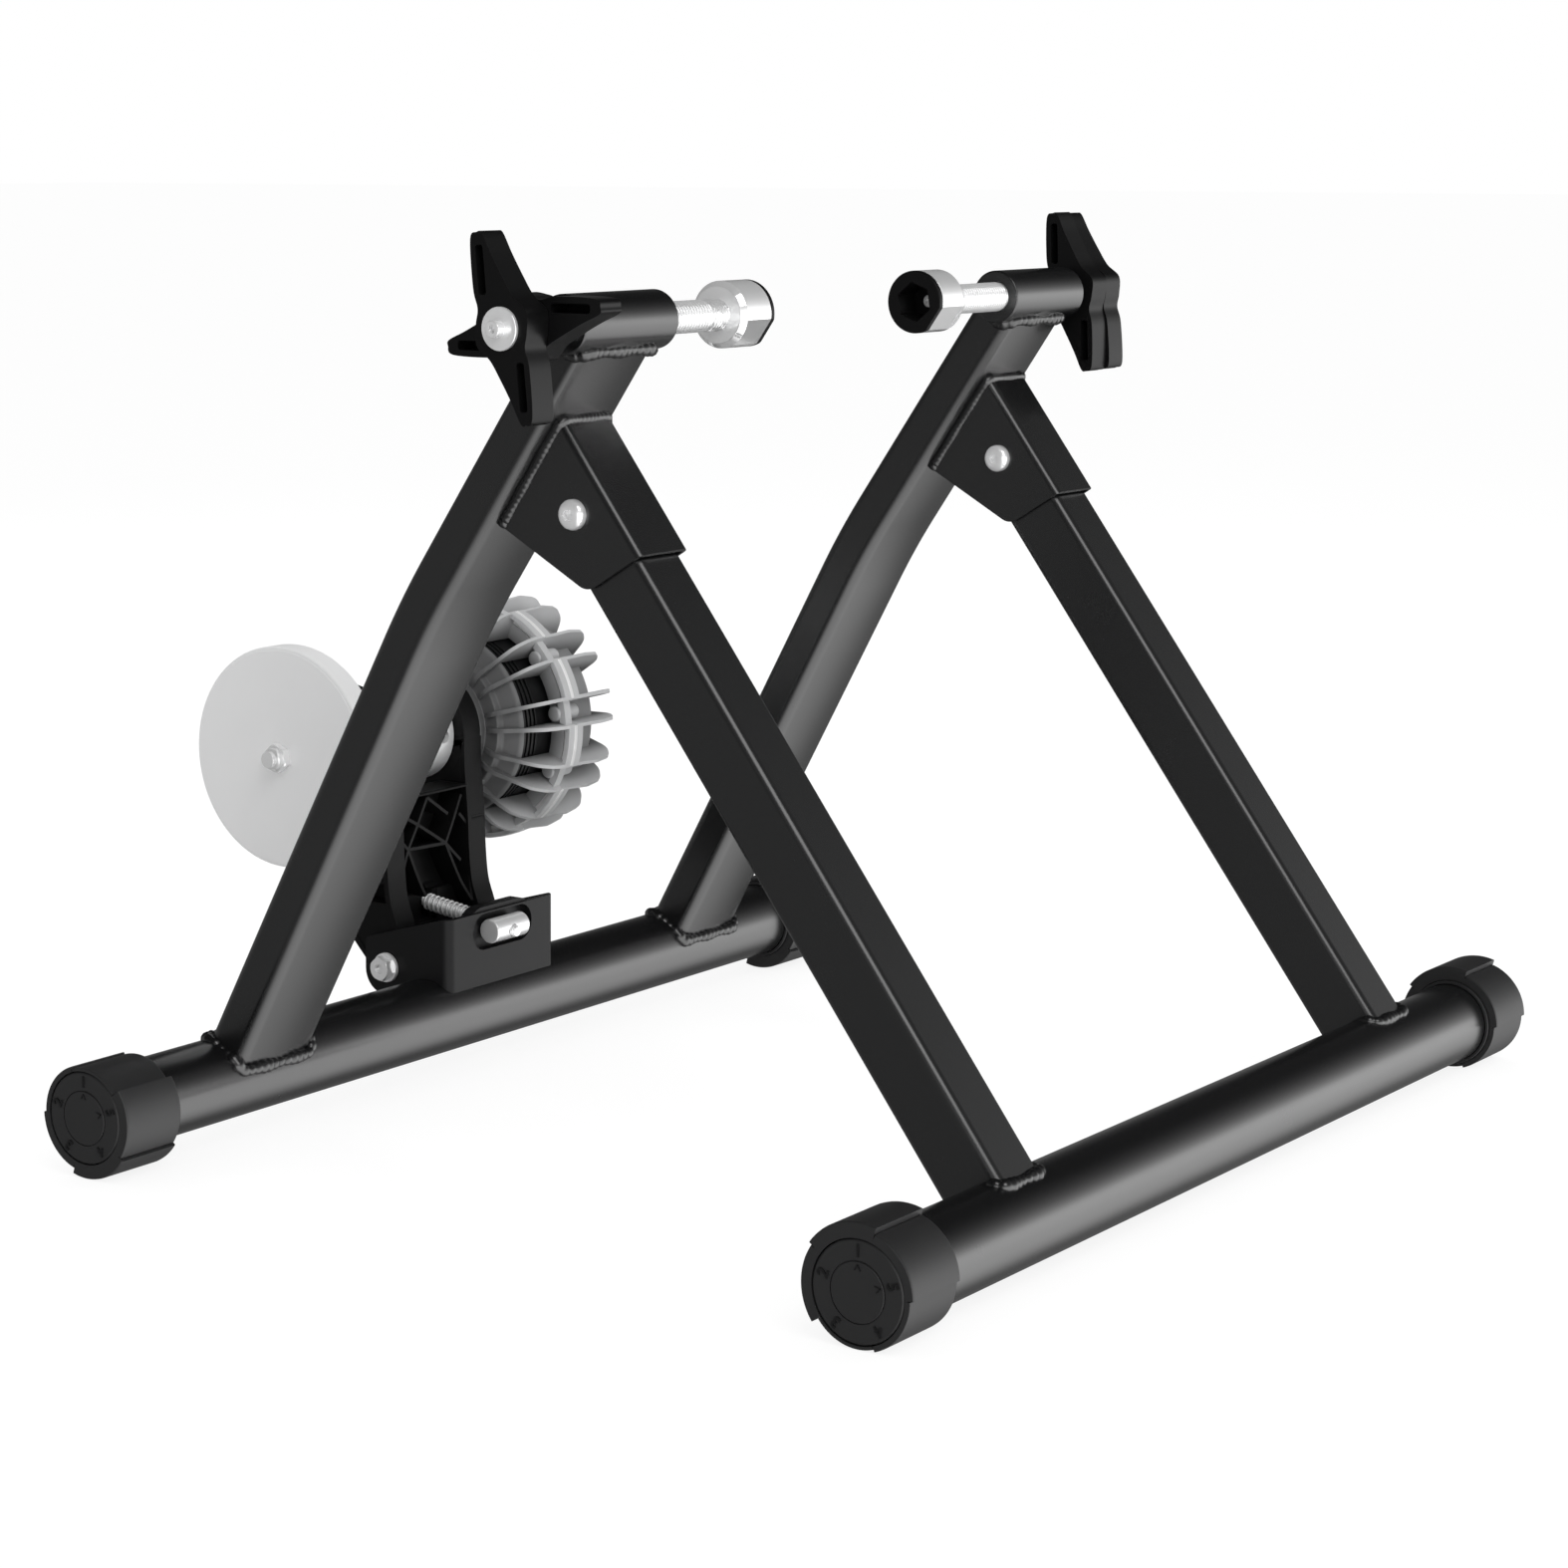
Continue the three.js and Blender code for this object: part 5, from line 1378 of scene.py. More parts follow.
@dataclass
class AxleClamp:
    """One axle clamp: cup, liner, screws, washers and the two winged knobs."""

    name: str
    side: int
    mouth: float
    turn_angle: float
    lock_angle: float
    rim: float = 2.7
    gap: float = 0.3
    cup_radius: float = 14.5
    cup_length: float = 23
    cup_wall: float = 2.5
    cup_depth: float = 17
    flat_cut: float = 1.6
    flat_angle: float = 35
    neck_length: float = 11
    shoulder: Pair = (2.4, 2.2)
    spigot: Pair = (5, 5.3)
    liner_bore: float = 1.8
    cup_screw: tuple[float, float, float, float] = (3, 2, 1.5, 12)
    knob_screw: tuple[float, float, float, float] = (3.5, 4.3, 2, 14)
    screw_hole: float = 2.3
    knob_floor: float = 4
    screw_radius: float = 7
    pitch: float = 2
    thread_depth: float = 1.3
    recess: float = 9.4
    liner_floor: float = 2
    washer: Pair = (8.8, 1.5)
    turn_after_mouth: float = 157.9
    knob_reach: float = 39.6
    knob_thick: float = 13.7
    pocket_depth: float = 11
    neck: Pair = (8, 5.6)
    arm_shares: Pairs = (
        (0.395, 0.88), (0.3125, 0.955), (0.2475, 0.945), (0.135, 0.7475), (-0.0075, 0.5225),
        (-0.1475, 0.325), (-0.3175, 0.185), (-0.325, -0.0325), (-0.3025, -0.19), (-0.36, -0.395),
    )
    pocket_shares: Pairs = (
        (0.335, 0.82), (0.24, 0.835), (0.215, 0.6), (0.19, 0.33), (0.285, 0.33),
    )

    def __post_init__(self) -> None:
        """Keeps the clamp's axis."""
        self.axis = np.array(STANCE.sleeve)

    def out(self, distance: float) -> float:
        """Returns the place along X at a distance outwards from the cup's mouth."""
        return self.side * (self.mouth + distance)

    def turned(self, corners: Sequence[Sequence[float]], sides: int = 96) -> Solid:
        """Turns a profile of (distance from the mouth, radius, corner radius) about the axis.

        Args:
            corners: The profile's corners.
            sides: Points round the axis.

        Returns:
            The closed surface.
        """
        profile = rounded(corners, 5)
        profile = np.stack([self.side * (self.mouth + profile[:, 0]), profile[:, 1]], axis=-1)
        return revolve(profile, at(0, self.axis), sides=sides)

    def flat_block(self, end: float) -> Solid:
        """Returns the block that mills the cup's flat, down to a distance from the mouth.

        Args:
            end: Where the flat ends, from the mouth.

        Returns:
            The block.
        """
        reach = self.cup_radius - self.flat_cut
        corners = reach * np.array([(-1, -2), (-1, 2), (-2, 2), (-2, -2)])
        outline = spun(corners, math.radians(self.flat_angle)) + self.axis
        return plate(outline, self.out(-2), self.out(end))

    def make_cup(self) -> None:
        """Makes the chromed cup with its milled flat, and the plastic liner in its mouth."""
        front = self.rim
        back, hollow = self.cup_length, self.cup_radius - self.cup_wall
        floor = front + self.cup_depth - self.cup_wall
        neck_end = back + self.neck_length
        slope, fall = self.shoulder
        bore = self.spigot[1]
        cup = Piece.stand_in(f"axle_cup_{self.name}", self.turned([
            (front, hollow, 0), (front, self.cup_radius, 0.3), (back - slope, self.cup_radius, 0.6),
            (back, self.cup_radius - fall, 0.8), (back, bore, 0),
            (floor, bore, 0), (floor, hollow, 0),
        ]))
        cup.cut(self.flat_block(back - self.cup_wall))
        length = self.neck_length + 0.5 * self.cup_wall
        cup.join(self.thread(neck_end - length, length))
        cup.cut(rod(bore, self.out(back - self.cup_wall), self.out(neck_end + 1), self.axis))
        cup.finish(f"cup_{self.name}", Finishes.chrome, edge=0.25)
        liner_end = floor - self.gap
        floor_end = liner_end - self.liner_floor
        liner = Piece.stand_in(f"cup_liner_{self.name}", self.turned([
            (0, 0, 0), (0, self.cup_radius, 0.7), (self.rim, self.cup_radius, 0.3),
            (self.rim, hollow - self.gap, 0), (liner_end, hollow - self.gap, 0), (liner_end, 0, 0),
        ]))
        outline = hexagon(self.axis, self.recess, math.radians(20))
        liner.cut(
            plate(outline, self.out(-2), self.out(floor_end)),
            rod(self.liner_bore, self.out(0), self.out(self.cup_length), self.axis, 24),
        )
        liner.cut(self.flat_block(self.rim + 1))
        liner.finish(f"cup_{self.name}", Finishes.plastic, edge=0.5)
        head_end = floor_end - self.gap
        head, height, shank, length = self.cup_screw
        screw = Piece.stand_in(f"cup_screw_{self.name}", self.turned([
            (head_end - height, 0, 0), (head_end - height, head, 0.7), (head_end, head, 0.2),
            (head_end, shank, 0), (head_end + length, shank, 0), (head_end + length, 0, 0),
        ], 48))
        socket = hexagon(self.axis, 1.5)
        screw.cut(plate(socket, self.out(head_end - 2 * height), self.out(head_end - 0.9)))
        screw.finish(f"clamp_{self.name}", Finishes.zinc, edge=0.1)
        self.rod_start = neck_end + self.gap
        self.spigot_start = floor + self.gap

    def thread(self, start: float, length: float) -> Solid:
        """Returns a length of the clamp's thread, from a distance outwards of the mouth.

        Args:
            start: Where it starts, from the mouth.
            length: Its length.

        Returns:
            The threaded bar.
        """
        origin = np.array([self.out(start), *self.axis])
        sizes = (self.screw_radius, self.thread_depth, self.pitch)
        return threaded(*sizes, length, origin, self.side * X_AXIS)

    def make_screw(self) -> None:
        """Makes the clamp screw with its real thread, and the plain spigot that holds the cup."""
        end = self.turn_after_mouth + self.knob_thick - self.knob_floor - self.gap
        thread = self.thread(self.rod_start, end - self.rod_start)
        piece = Piece.stand_in(f"clamp_screw_{self.name}", thread)
        spigot = (self.out(self.spigot_start), self.out(self.rod_start + 1))
        piece.join(rod(self.spigot[0], *spigot, self.axis, 48))
        piece.finish(f"clamp_{self.name}", Finishes.zinc, crease=60)
        face = self.turn_after_mouth + self.knob_thick
        radius, thick = self.washer
        seat = face + self.gap + thick
        washer = Piece.stand_in(f"knob_washer_{self.name}", self.turned([
            (face, self.screw_hole, 0), (face, radius, 0.3),
            (seat, radius, 0.5), (seat, self.screw_hole, 0),
        ]))
        washer.finish(f"clamp_{self.name}", Finishes.zinc)
        head, height, shank, length = self.knob_screw
        screw = Piece.stand_in(f"knob_screw_{self.name}", self.turned([
            (seat + height, 0, 0), (seat + height, head, 0.5), (seat, head, 0.1),
            (seat, shank, 0), (seat - length, shank, 0), (seat - length, 0, 0),
        ], 48))
        socket = hexagon(self.axis, 1.8)
        screw.cut(plate(socket, self.out(seat + 1.8), self.out(seat + height + 2.7)))
        screw.finish(f"clamp_{self.name}", Finishes.zinc, edge=0.15)

    def knob_outline(self, degrees: float) -> np.ndarray:
        """Returns the knob's outline: one arm's points and the same turned half round."""
        half = np.array(self.arm_shares) * self.knob_reach
        return spun(flowing(np.concatenate([half, -half]), 6), math.radians(degrees)) + self.axis

    def pocket(self, degrees: float, sign: int, left: float) -> Solid:
        """Returns one arm's pocket, sunk from the knob's left face.

        Args:
            degrees: The knob's turn.
            sign: 1 for one arm, -1 for the other.
            left: Where the knob's left face lies along X.

        Returns:
            The solid that is cut away.
        """
        shape = sign * np.array(self.pocket_shares) * self.knob_reach
        corners = spun(shape, math.radians(degrees)) + self.axis
        outline = rounded([(*corner, 1.2) for corner in corners], 3)
        return plate(outline, left - 2, left + self.pocket_depth)

    def make_knob(self, node: str, body: str, start: float, degrees: float, neck: bool) -> None:
        """Makes a two-armed knob.

        Args:
            node: The node that it stands for.
            body: The body that it rides on.
            start: Where its inner face lies, from the mouth.
            degrees: Its turn in the side view.
            neck: Whether it has the short neck towards the sleeve and a through bore.
        """
        inner, outer = self.out(start), self.out(start + self.knob_thick)
        left = min(inner, outer)
        piece = Piece.stand_in(node, plate(self.knob_outline(degrees), inner, outer))
        piece.cut(self.pocket(degrees, 1, left), self.pocket(degrees, -1, left))
        end, bore = start + self.knob_thick, self.screw_radius + self.gap
        if neck:
            radius, length = self.neck
            piece.join(rod(radius, self.out(start - length), self.out(start + 2), self.axis))
            piece.cut(rod(bore, self.out(start - 9), self.out(start + 20), self.axis))
        else:
            piece.cut(
                rod(bore, self.out(start - 2), self.out(end - self.knob_floor), self.axis),
                rod(self.screw_hole, self.out(start), self.out(end + 2), self.axis),
            )
        piece.finish(body, Finishes.plastic, edge=0.9, crease=42)

    def build(self) -> None:
        """Makes the clamp's pieces."""
        self.make_cup()
        self.make_screw()
        start, name = self.turn_after_mouth, self.name
        lock_start = start - self.gap - self.knob_thick
        self.make_knob(f"turn_knob_{name}", f"clamp_{name}", start, self.turn_angle, False)
        self.make_knob(f"lock_knob_{name}", f"lock_{name}", lock_start, self.lock_angle, True)


@dataclass
class UnitBracket:
    """The folded bracket on the rear tube, its pivot bolt and the barrel nut in its pocket."""

    half_width: float = 42
    sheet: float = 3
    fold: float = 5
    front: float = 14
    bottom: float = 13
    top: float = 49.3
    rear: Pair = (38.5, 35)
    under: float = 7.5
    pocket: Pair = (46, 18)
    barrel: Pair = (6, 25)
    tube_radius: float = 19
    bolt: Pair = (4, 8.3)
    bolt_flange: Triple = (1.7, 7.2, 7.4)
    bolt_head: Triple = (6.2, 5.3, 6.4)
    nut: Triple = (7.4, 8.2, 6.7)
    nut_thick: float = 6.5

    def stadium(self, grow: float, start: float, end: float) -> Solid:
        """Returns the pocket's round-ended outline carried along Y, grown by a distance.

        Args:
            grow: How far it is grown.
            start: Where it starts along Y.
            end: Where it ends.

        Returns:
            The closed surface.
        """
        width, height = self.pocket
        outline = box_outline(width + 2 * grow, height + 2 * grow, height / 2 + grow - 0.01, 16)
        x, z = outline[:, 0], outline[:, 1] + STANCE.barrel[1]
        return grid(np.stack([np.stack([x, np.full(len(x), y), z], -1) for y in (start, end)]))

    def make_plate(self) -> None:
        """Makes the folded sheet: a U in plan, trimmed to the cheeks' outline, with the pocket."""
        half, inner = self.half_width, self.half_width - self.sheet
        beyond, front, fold = 60, -self.front, self.fold
        wall, inside_fold = front + self.sheet, fold - self.sheet
        plan = rounded([
            (-half, beyond, 0), (-half, front, fold), (half, front, fold), (half, beyond, 0),
            (inner, beyond, 0), (inner, wall, inside_fold),
            (-inner, wall, inside_fold), (-inner, beyond, 0),
        ], 8)
        levels = [np.column_stack([plan, np.full(len(plan), z)]) for z in (0, beyond)]
        outline = rounded([
            (front - 5, self.top, 0), (front - 5, self.bottom, 0), (front + 1, self.bottom, 0),
            (STANCE.pivot[0], self.under, 0), (self.rear[0], self.under, 12),
            (*self.rear, 3), (front + 4, self.top, 2),
        ], 8)
        piece = Piece.stand_in("unit_bracket", grid(np.stack(levels)))
        piece.within(plate(outline, -half - 2, half + 2))
        floor = STANCE.barrel[0] + self.barrel[0] + 0.3
        piece.join(self.stadium(self.sheet, self.sheet / 2 - self.front, floor + self.sheet))
        piece.cut(
            self.stadium(0, -self.front - 4, floor),
            rod(self.tube_radius - 0.5, -half - 5, half + 5, STANCE.rear),
            rod(4.3, -half - 5, half + 5, STANCE.pivot),
        )
        piece.finish("rear_frame", Finishes.bracket, edge=0.8)

    def make_fasteners(self) -> None:
        """Makes the flanged pivot bolt, its nut and the barrel nut."""
        outside, axis = -self.half_width, at(0, STANCE.pivot)
        shank, tail = self.bolt
        thick, rim, seat = self.bolt_flange
        end, face = self.half_width + tail, outside - thick
        bolt = Piece.stand_in("pivot_bolt", revolve(rounded([
            (face, 0, 0), (face, rim, 0.3), (outside, seat, 0.2),
            (outside, shank, 0), (end, shank, 0.5), (end, 0, 0),
        ]), axis, sides=64))
        height, narrow, wide = self.bolt_head
        top = outside - height
        head = Piece.of("hex_head", plate(hexagon(STANCE.pivot, 6.2, 0.3), top, outside - 1))
        cone = [(top, 0), (top, narrow), (top + 1.1, wide), (outside, wide), (outside, 0)]
        head.within(revolve(cone, axis))
        bolt.join(head).cut(rod(2.4, outside - 8, outside - 4.6, STANCE.pivot, 32))
        bolt.finish("rear_frame", Finishes.zinc, edge=0.2)
        nut = plain_nut(
            "pivot_nut", STANCE.pivot, self.half_width, self.nut, self.nut_thick, shank + 0.05
        )
        nut.finish("rear_frame", Finishes.zinc, edge=0.2)
        radius, length = self.barrel
        profile = bushing((-length / 2, length / 2), (0, radius), (0, 0.8))
        barrel = Piece.stand_in("barrel_nut", revolve(profile, at(0, STANCE.barrel)))
        barrel.cut(Tension().bar(3.1, -40, 40))
        barrel.finish("swing_nut", Finishes.zinc, edge=0.2)

    def build(self) -> None:
        """Makes the bracket's pieces."""
        self.make_plate()
        self.make_fasteners()


@dataclass
class Tension:
    """The tension screw with its spring, washer and knob."""

    shank: float = 2.8
    pitch: float = 1
    tip: float = 8
    seat_radius: float = 9
    washer: Pair = (11, 2)
    knob_radius: float = 15.5
    lobe: float = 1.5
    lobes: int = 5
    knob_length: float = 14
    wire: float = 1.3
    mean: float = 7.4
    curls: int = 14
    closed: float = 0.6
    creep: float = 0.012
    clearance: float = 1
    bore: float = 3.1
    knob_rounding: Pairs = (
        (0, 1.6), (0.4, 0.6), (1.4, 0.15), (3, 0), (11, 0), (12.6, 0.25), (13.6, 0.9), (14, 2),
    )
    spring_seat: float = 34.5
    pocket_back: float = -6.2

    def __post_init__(self) -> None:
        """Works out the screw's line from the barrel nut to the yoke's seat."""
        self.start = np.array([0.0, *STANCE.barrel])
        line = np.array([0.0, *STANCE.seat]) - self.start
        self.reach = float(np.linalg.norm(line))
        self.axis = unit(line)
        self.across = np.cross(self.axis, X_AXIS)

    def bar(self, radius: float, start: float, end: float) -> Solid:
        """Returns a round bar along the screw's line."""
        profile = [(start, 0), (start, radius), (end, radius), (end, 0)]
        return revolve(profile, self.start, self.axis, 32)

    def make_screw(self) -> None:
        """Makes the threaded screw, its washer and its knob with five soft lobes."""
        washer_from = self.reach + self.seat_radius + 0.3
        knob_from = washer_from + self.washer[1] + 0.3
        knob_end = knob_from + self.knob_length
        length = knob_end - 2 + self.tip
        origin = self.start - self.axis * self.tip
        thread = threaded(self.shank, 0.5, self.pitch, length, origin, self.axis, 24)
        screw = Piece.stand_in("tension_bolt", thread)
        screw.finish("tension_screw", Finishes.zinc, crease=60)
        radius, thick = self.washer
        profile = bushing((washer_from, washer_from + thick), (self.bore, radius), (0, 0.4))
        washer = Piece.stand_in("tension_washer", revolve(profile, self.start, self.axis))
        washer.finish("tension_seat", Finishes.zinc)
        angle = np.linspace(0, 2 * math.pi, 120, endpoint=False)
        along, inset = np.array(self.knob_rounding).T[..., None]
        lobed = self.knob_radius + self.lobe * (np.cos(self.lobes * angle) - 1)
        radius_here = (lobed[None, :] - inset)[..., None]
        places = self.start + (knob_from + along)[..., None] * self.axis
        round_axis = np.cos(angle)[:, None] * X_AXIS + np.sin(angle)[:, None] * self.across
        knob = Piece.stand_in("tension_knob", grid(places + radius_here * round_axis[None]))
        knob.cut(self.bar(self.bore, knob_from - 1, knob_end - 1.7))
        knob.finish("tension_screw", Finishes.plastic)

    def make_spring(self) -> None:
        """Makes the spring: a helix with closed, flattened end coils.

        The wire's centre is at mean / 2 * (cos(turn), sin(turn)) round the screw's line. Its
        rise is even between the closed ends and creeps within them.
        """
        slope = 1 / self.axis[1]
        margin = self.clearance + self.wire / 2
        low = (self.pocket_back - self.start[1]) * slope + margin
        high = (self.spring_seat - self.start[1]) * slope - margin
        turns = np.linspace(0, self.curls, self.curls * 28)
        rise = np.clip((turns - self.closed) / (self.curls - 2 * self.closed), 0, 1)
        share = rise * (1 - self.creep) + self.creep * turns / self.curls
        height = low + (high - low) * share
        angle = 2 * math.pi * turns[:, None]
        radial = np.cos(angle) * X_AXIS + np.sin(angle) * self.across
        path = self.start + height[:, None] * self.axis + self.mean / 2 * radial
        piece = Piece.stand_in("tension_spring", bead(path, radial, self.wire / 2, sides=10))
        made = piece.made
        piece.finish(None, Finishes.zinc, crease=80)
        row_low = LEVEL.row(self.start + low * self.axis)
        row_high = LEVEL.row(self.start + high * self.axis)
        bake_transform(made)

    def build(self) -> None:
        """Makes the tension gear."""
        self.make_screw()
        self.make_spring()


@dataclass
class Yoke:
    """The tilting yoke: two arms with round heads and a ribbed web between them."""

    half_width: float = 38.4
    arm_inner: float = 25
    head_radius: float = 30
    pivot_radius: float = 12.5
    depth: float = 34
    height: float = 103
    rim: float = 3
    web_depth: float = 17
    web_wall: float = 3
    rib: float = 1.7
    side_web: float = 4
    foot_top: float = 52
    well: Pair = (33.5, 35)
    foot_rear: float = 53
    bearing: float = 14
    bearing_inset: float = 2
    seat_radius: float = 9
    seat_half: float = 12
    front_shares: Pairs = (
        (0.62, 0.27), (0.62, 0.39), (0.75, 0.52), (0.8, 0.67), (0.82, 0.83), (0.85, 0.96),
        (0.882, 1.1), (0.884, 1.22),
    )
    rear_shares: Pairs = (
        (2.56, 1.1), (2.26, 0.98), (1.98, 0.84), (1.8, 0.67), (1.68, 0.535), (1.56, 0.36),
        (1.09, 0.18),
    )
    web_nodes: dict[str, Pair] = field(default_factory=lambda: {
        "a": (-0.16, 0.97), "b": (0.89, 0.95), "c": (-0.82, 0.74), "d": (0.34, 0.73),
        "e": (0.44, 0.87), "f": (-0.46, 0.845), "g": (-0.4, 0.5), "h": (0.92, 0.43),
        "i": (0.79, 0.86), "j": (0.78, 0.63), "k": (1.04, 0.8), "l": (-1.04, 0.62),
        "m": (-1.04, 0.79), "n": (-1.04, 0.92), "o": (1.04, 0.55),
    })
    web_ribs: tuple[str, ...] = (
        "ac", "ae", "fd", "cd", "cg", "dh", "dj", "db", "ik", "cl", "cm", "nf", "ho",
    )
    side_nodes: dict[str, Pair] = field(default_factory=lambda: {
        "a": (0.8, 0.62), "b": (1.75, 0.72), "c": (0.82, 0.83), "d": (1.9, 0.9),
        "e": (0.95, 1.02), "f": (2.3, 1.08), "g": (1.62, 0.52), "h": (0.75, 0.45),
    })
    side_ribs: tuple[str, ...] = ("hg", "ga", "ab", "bc", "cd", "de", "ef")
    rib_back: float = 1.2

    def side_view(self, shares: Sequence[Sequence[float]]) -> np.ndarray:
        """Turns shares of the yoke's depth and height into side-view points."""
        return np.asarray(shares, float) * [self.depth, self.height]

    def smooth_side(self, shares: Sequence[Sequence[float]]) -> np.ndarray:
        """Draws a smooth line through side-view points, the ends kept.

        Args:
            shares: Shares of the yoke's depth and height.

        Returns:
            The line's points (y, z).
        """
        points, steps = self.side_view(shares), 5
        before, after = points[:1] * 2 - points[1:2], points[-1:] * 2 - points[-2:-1]
        curve = flowing(np.concatenate([before, points, after]), steps)
        return curve[steps:steps * len(points) + 1]

    def bar_outline(self, first: np.ndarray, last: np.ndarray) -> np.ndarray:
        """Returns the thin rectangle of a rib between two points."""
        across = left_of(unit(last - first)) * self.rib / 2
        return np.array([first - across, last - across, last + across, first + across])

    def wall(self, outline: np.ndarray, thickness: float, start: float, end: float) -> Solid:
        """Makes a wall that follows an outline: four corner lines, each an outline of its own.

        Args:
            outline: The outline.
            thickness: The wall's thickness, inwards.
            start: Where it starts along X.
            end: Where it ends.

        Returns:
            The closed surface.
        """
        inner = self.inset(outline, thickness)
        rows = [at(start, outline), at(end, outline), at(end, inner), at(start, inner)]
        return grid(np.stack(rows), ring=True)

    def inset(self, outline: np.ndarray, distance: float) -> np.ndarray:
        """Moves an outline inwards: each point goes along the mean of its edges' normals.

        Args:
            outline: The outline.
            distance: How far it moves.

        Returns:
            The smaller outline.
        """
        following = np.roll(outline, -1, 0)
        area = np.sum(outline[:, 0] * following[:, 1] - following[:, 0] * outline[:, 1])
        before = left_of(unit(outline - np.roll(outline, 1, 0)))
        normal = unit(before + left_of(unit(following - outline)))
        share = (normal * before).sum(-1, keepdims=True)
        return outline + np.sign(area) * normal * distance / np.maximum(share, 0.5)

    def face_rib(self, first: str, last: str, front: np.ndarray) -> Solid:
        """Makes a rib of the web between two of its nodes.

        At a share t along the rib, x and z run evenly between the nodes, and y follows the
        yoke's front edge at that height, so that the rib lies in the curved web.

        Args:
            first: The node that it starts at.
            last: The node that it ends at.
            front: The yoke's front edge (y, z).

        Returns:
            The rib.
        """
        shares = np.array([self.web_nodes[first], self.web_nodes[last]])
        ends = shares * [self.arm_inner, self.height]
        share = np.linspace(0, 1, 14)[:, None]
        line = ends[0] + (ends[1] - ends[0]) * share
        across = left_of(unit(ends[1] - ends[0])) * self.rib / 2
        near = np.interp(line[:, 1], front[:, 1], front[:, 0]) + self.rib_back
        far = near + self.web_depth - self.web_wall
        rows = [
            np.stack([line[:, 0] + way * across[0], depth, line[:, 1] + way * across[1]], -1)
            for way, depth in ((-1, near), (1, near), (1, far), (-1, far))
        ]
        return grid(np.stack(rows, 1))

    def back_wall(self, front: np.ndarray) -> Solid:
        """Makes the web's closed back, which follows the yoke's front edge at web_depth.

        Args:
            front: The yoke's front edge (y, z).

        Returns:
            The wall.
        """
        kept = front[(front[:, 1] > self.foot_top - self.rib) & (front[:, 1] < self.height + 1)]
        rows = []
        for side, wall in ((-1, self.web_wall), (1, self.web_wall), (1, 0), (-1, 0)):
            rows.append(at(side * (self.arm_inner + 1), kept + [self.web_depth - wall, 0]))
        return grid(np.stack(rows, 1))

    def head(self, side: int) -> Solid:
        """Makes one arm's round head: a rim, a web and the bearing's seat.

        Args:
            side: -1 or 1.

        Returns:
            The head.
        """
        near, far = self.arm_inner, self.half_width
        web, seat = near + self.side_web, self.bearing + self.rim
        opening, bore, floor = 9, self.bearing + 0.05, near + self.bearing_inset
        radius, inside = self.head_radius, self.head_radius - self.rim
        profile = rounded([
            (near, opening, 0.4), (near, radius, 1.2), (far, radius, 1.2), (far, inside, 0.4),
            (web, inside, 0.6), (web, seat, 0.6), (far, seat, 0.4), (far, bore, 0.3),
            (floor, bore, 0), (floor, opening, 0),
        ], 4)
        return revolve(profile * [side, 1], at(0, STANCE.unit), sides=112)

    def foot(self) -> Piece:
        """Makes the wide foot with the screw's slot and the spring's mouth.

        Returns:
            The foot, still to be joined by the other shells.
        """
        pivot = np.array(STANCE.pivot)
        corners = self.side_view(self.front_shares) + [self.rib, 0]
        outline = rounded([
            (*corners[0], 2), (*corners[1], 0), (corners[2][0], self.foot_top, 2),
            (self.foot_rear, self.foot_top, 5), (self.foot_rear, pivot[1] + self.pivot_radius, 5),
            (pivot[0] + self.pivot_radius, pivot[1], 0), (*pivot, 0),
        ])
        tension = Tension()
        line = tension.axis[1:]
        start, up = np.array(STANCE.barrel), left_of(line)
        tall, low = up * 10, up * 4.6
        spring_end = (tension.spring_seat - start[0]) / line[0]
        seat = start + line * spring_end
        step, rear = seat - line * 2, start + line * (tension.reach + self.seat_radius + 2)
        slot = np.array([step - tall, rear - low, rear + low, step + tall])
        mouth = np.array([start - tall, seat - tall, seat + tall, start + tall])
        wide, back, floor = self.half_width, *self.well
        well = np.array([(-wide, floor), (back, floor), (back, self.height), (-wide, self.height)])
        piece = Piece.stand_in("yoke", plate(outline, 0.4 - wide, wide - 0.4))
        return piece.cut(
            plate(slot, -3.6, 3.6), plate(mouth, -7, 7), rod(8, -wide - 1, wide + 1, pivot, 48),
            plate(well, 0.1 - self.arm_inner, self.arm_inner - 0.1),
        )

    def build(self) -> None:
        """Makes the yoke as one moulding of closed shells that run into each other."""
        front, rear = self.smooth_side(self.front_shares), self.smooth_side(self.rear_shares)
        arm = np.concatenate([front[::-1], rear[::-1]])
        hub = bushing((-self.half_width, self.half_width), (4.3, self.pivot_radius), (0.4, 1.5))
        parts = [revolve(hub, at(0, STANCE.pivot)), self.back_wall(front)]
        parts += [self.face_rib(*ends, front) for ends in self.web_ribs]
        top = self.side_view(self.front_shares)[-3, 0]
        behind, under = top + self.web_depth, self.height - self.rib
        parts.append(plate(rounded([
            (top, under, 0.8), (behind, under, 0),
            (behind, self.height, 0), (top, self.height, 0.8),
        ]), -self.arm_inner - 1, self.arm_inner + 1))
        for _, side in SIDES:
            near, far = side * self.arm_inner, side * self.half_width
            web = side * (self.arm_inner + self.side_web)
            parts += [
                self.wall(arm, self.rim, near, far),
                plate(self.inset(arm, self.rim / 2), near + side * 0.1, web),
                self.head(side),
                rod(self.seat_radius, side * 3.6, side * self.seat_half, STANCE.seat, 48),
            ]
            for first, last in self.side_ribs:
                ends = self.side_view([self.side_nodes[first], self.side_nodes[last]])
                parts.append(plate(self.bar_outline(*ends), web - side, far - side * 0.6))
        piece = self.foot().add(*parts)
        piece.finish("roller_yoke", Finishes.nylon, edge=0.3)


